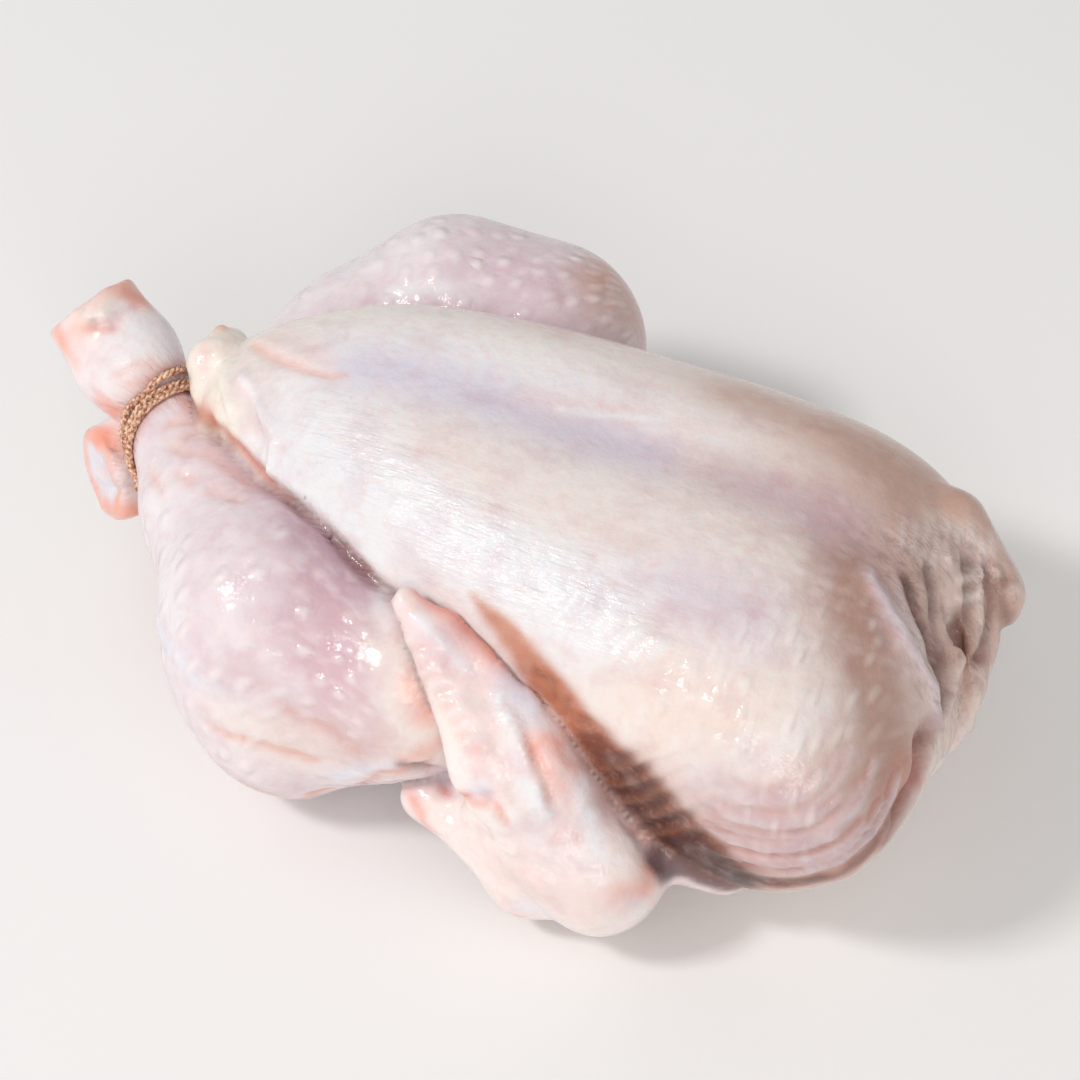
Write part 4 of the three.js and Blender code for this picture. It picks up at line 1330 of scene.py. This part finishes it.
def plies(route, closed):
    """Three plies twisted round the route."""
    step = np.linalg.norm(np.roll(route, -1, 0) - route, axis=1)
    if not closed:
        step[-1] = 0
    turns = round(step.sum() / LAY)
    angle = 2 * math.pi * turns * (np.cumsum(step) - step) / step.sum()
    forward = np.roll(route, -1, 0) - np.roll(route, 1, 0)
    if not closed:
        forward[0], forward[-1] = route[1] - route[0], route[-1] - route[-2]
    aside = np.cross(forward, slope(flesh, route)[1])
    aside /= np.linalg.norm(aside, axis=1)[:, None]
    over = np.cross(aside, forward)
    over /= np.linalg.norm(over, axis=1)[:, None]
    laid = []
    for ply in range(3):
        a = (angle + 2 * math.pi * ply / 3)[:, None]
        laid.append(route + PLY_RADIUS * 1.05 * (np.cos(a) * aside + np.sin(a) * over))
    return laid


laid_plies = []
for turn_of in twine_turns:
    laid_plies += plies(closed_curve(turn_of, TURN_POINTS), closed=True)
threads = string("twine_turns", laid_plies, PLY_RADIUS, closed=True)

# an overhand knot that ties the turns together below the crossing, with two short ends
knot_at = twine_turns[1][np.argmin(np.linalg.norm(twine_turns[1] - KNOT_UNDER, axis=1))]
knot_out = slope(flesh, knot_at[None])[1][0]
knot_out /= np.linalg.norm(knot_out)
knot_along = np.cross(knot_out, (0, 0, 1.0))
knot_along /= np.linalg.norm(knot_along)
knot_up = np.cross(knot_out, knot_along)
s = np.linspace(-0.5, 2 * math.pi + 0.5, KNOT_POINTS)[:, None]
bow = (
    (np.sin(s) + 2 * np.sin(2 * s)) * 1.15 * knot_along
    + (np.cos(s) - 2 * np.cos(2 * s)) * 0.95 * knot_up
    + (1.2 - 1.0 * np.sin(3 * s)) * knot_out
)
knot = knot_at + 1.0 * knot_out + bow
leads = []
for end, side in ((knot[0], -1), (knot[-1], 1)):
    t = np.linspace(0, 1, LEAD_POINTS)[:, None]
    leads.append(end + t * (9 * side * knot_along + 4 * knot_out) + t * t * (-5 * knot_out - 6 * knot_up))
route = np.vstack([leads[0][::-1][:-1], knot, leads[1][1:]])
for _ in range(6):
    route[1:-1] = 0.5 * route[1:-1] + 0.25 * (route[2:] + route[:-2])
knot_threads = string("twine_knot", plies(route, closed=False), PLY_RADIUS, closed=False)

# loose fibres stand off the string
noise.seed_set(5)
fuzz_paths = []
for number in range(FIBRES):
    turn_of = twine_turns[number % 3]
    start = turn_of[(number * 23) % len(turn_of)]
    ahead = turn_of[(number * 23 + 2) % len(turn_of)] - start
    out = slope(flesh, start[None])[1][0]
    sway = np.array(noise.random_unit_vector())
    t = np.linspace(0, 1, 6)[:, None]
    reach = 1.5 + 1.5 * (number * 7 % 5) / 5
    curl = t * t * reach * (0.4 * out + 0.6 * sway)
    fuzz_paths.append(start + 1.0 * out + t * (0.6 * ahead + 0.8 * sway) + curl)
fuzz = string("twine_fibres", fuzz_paths, FIBRE_RADIUS, closed=False)

bpy.ops.object.select_all(action="DESELECT")
for piece in (knot_threads, fuzz, threads):
    piece.select_set(True)
bpy.context.view_layer.objects.active = threads
bpy.ops.object.join()
twine = bpy.context.object
twine.name = "twine"
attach(twine, "root")
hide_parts("twine_tie")

twine_finish = bpy.data.materials.new("twine_finish")
twine_finish.use_nodes = True
twine.data.materials.clear()
twine.data.materials.append(twine_finish)
nodes, links = twine_finish.node_tree.nodes, twine_finish.node_tree.links
shader = nodes["Principled BSDF"]
shader.inputs["Roughness"].default_value = 0.75
place = node("ShaderNodeTexCoord").outputs["Object"]
fibre = noise_node(place, 900, 4, 0.5)
browns = node("ShaderNodeValToRGB")
browns.color_ramp.elements[0].position = 0.38
browns.color_ramp.elements[0].color = (*seen(168, 100, 72), 1)
browns.color_ramp.elements[1].position = 0.62
browns.color_ramp.elements[1].color = (*seen(255, 220, 190), 1)
links.new(fibre, browns.inputs["Fac"])
links.new(browns.outputs["Color"], shader.inputs["Base Color"])
links.new(bumped(fibre, 0.3 * MM, 0.8), shader.inputs["Normal"])
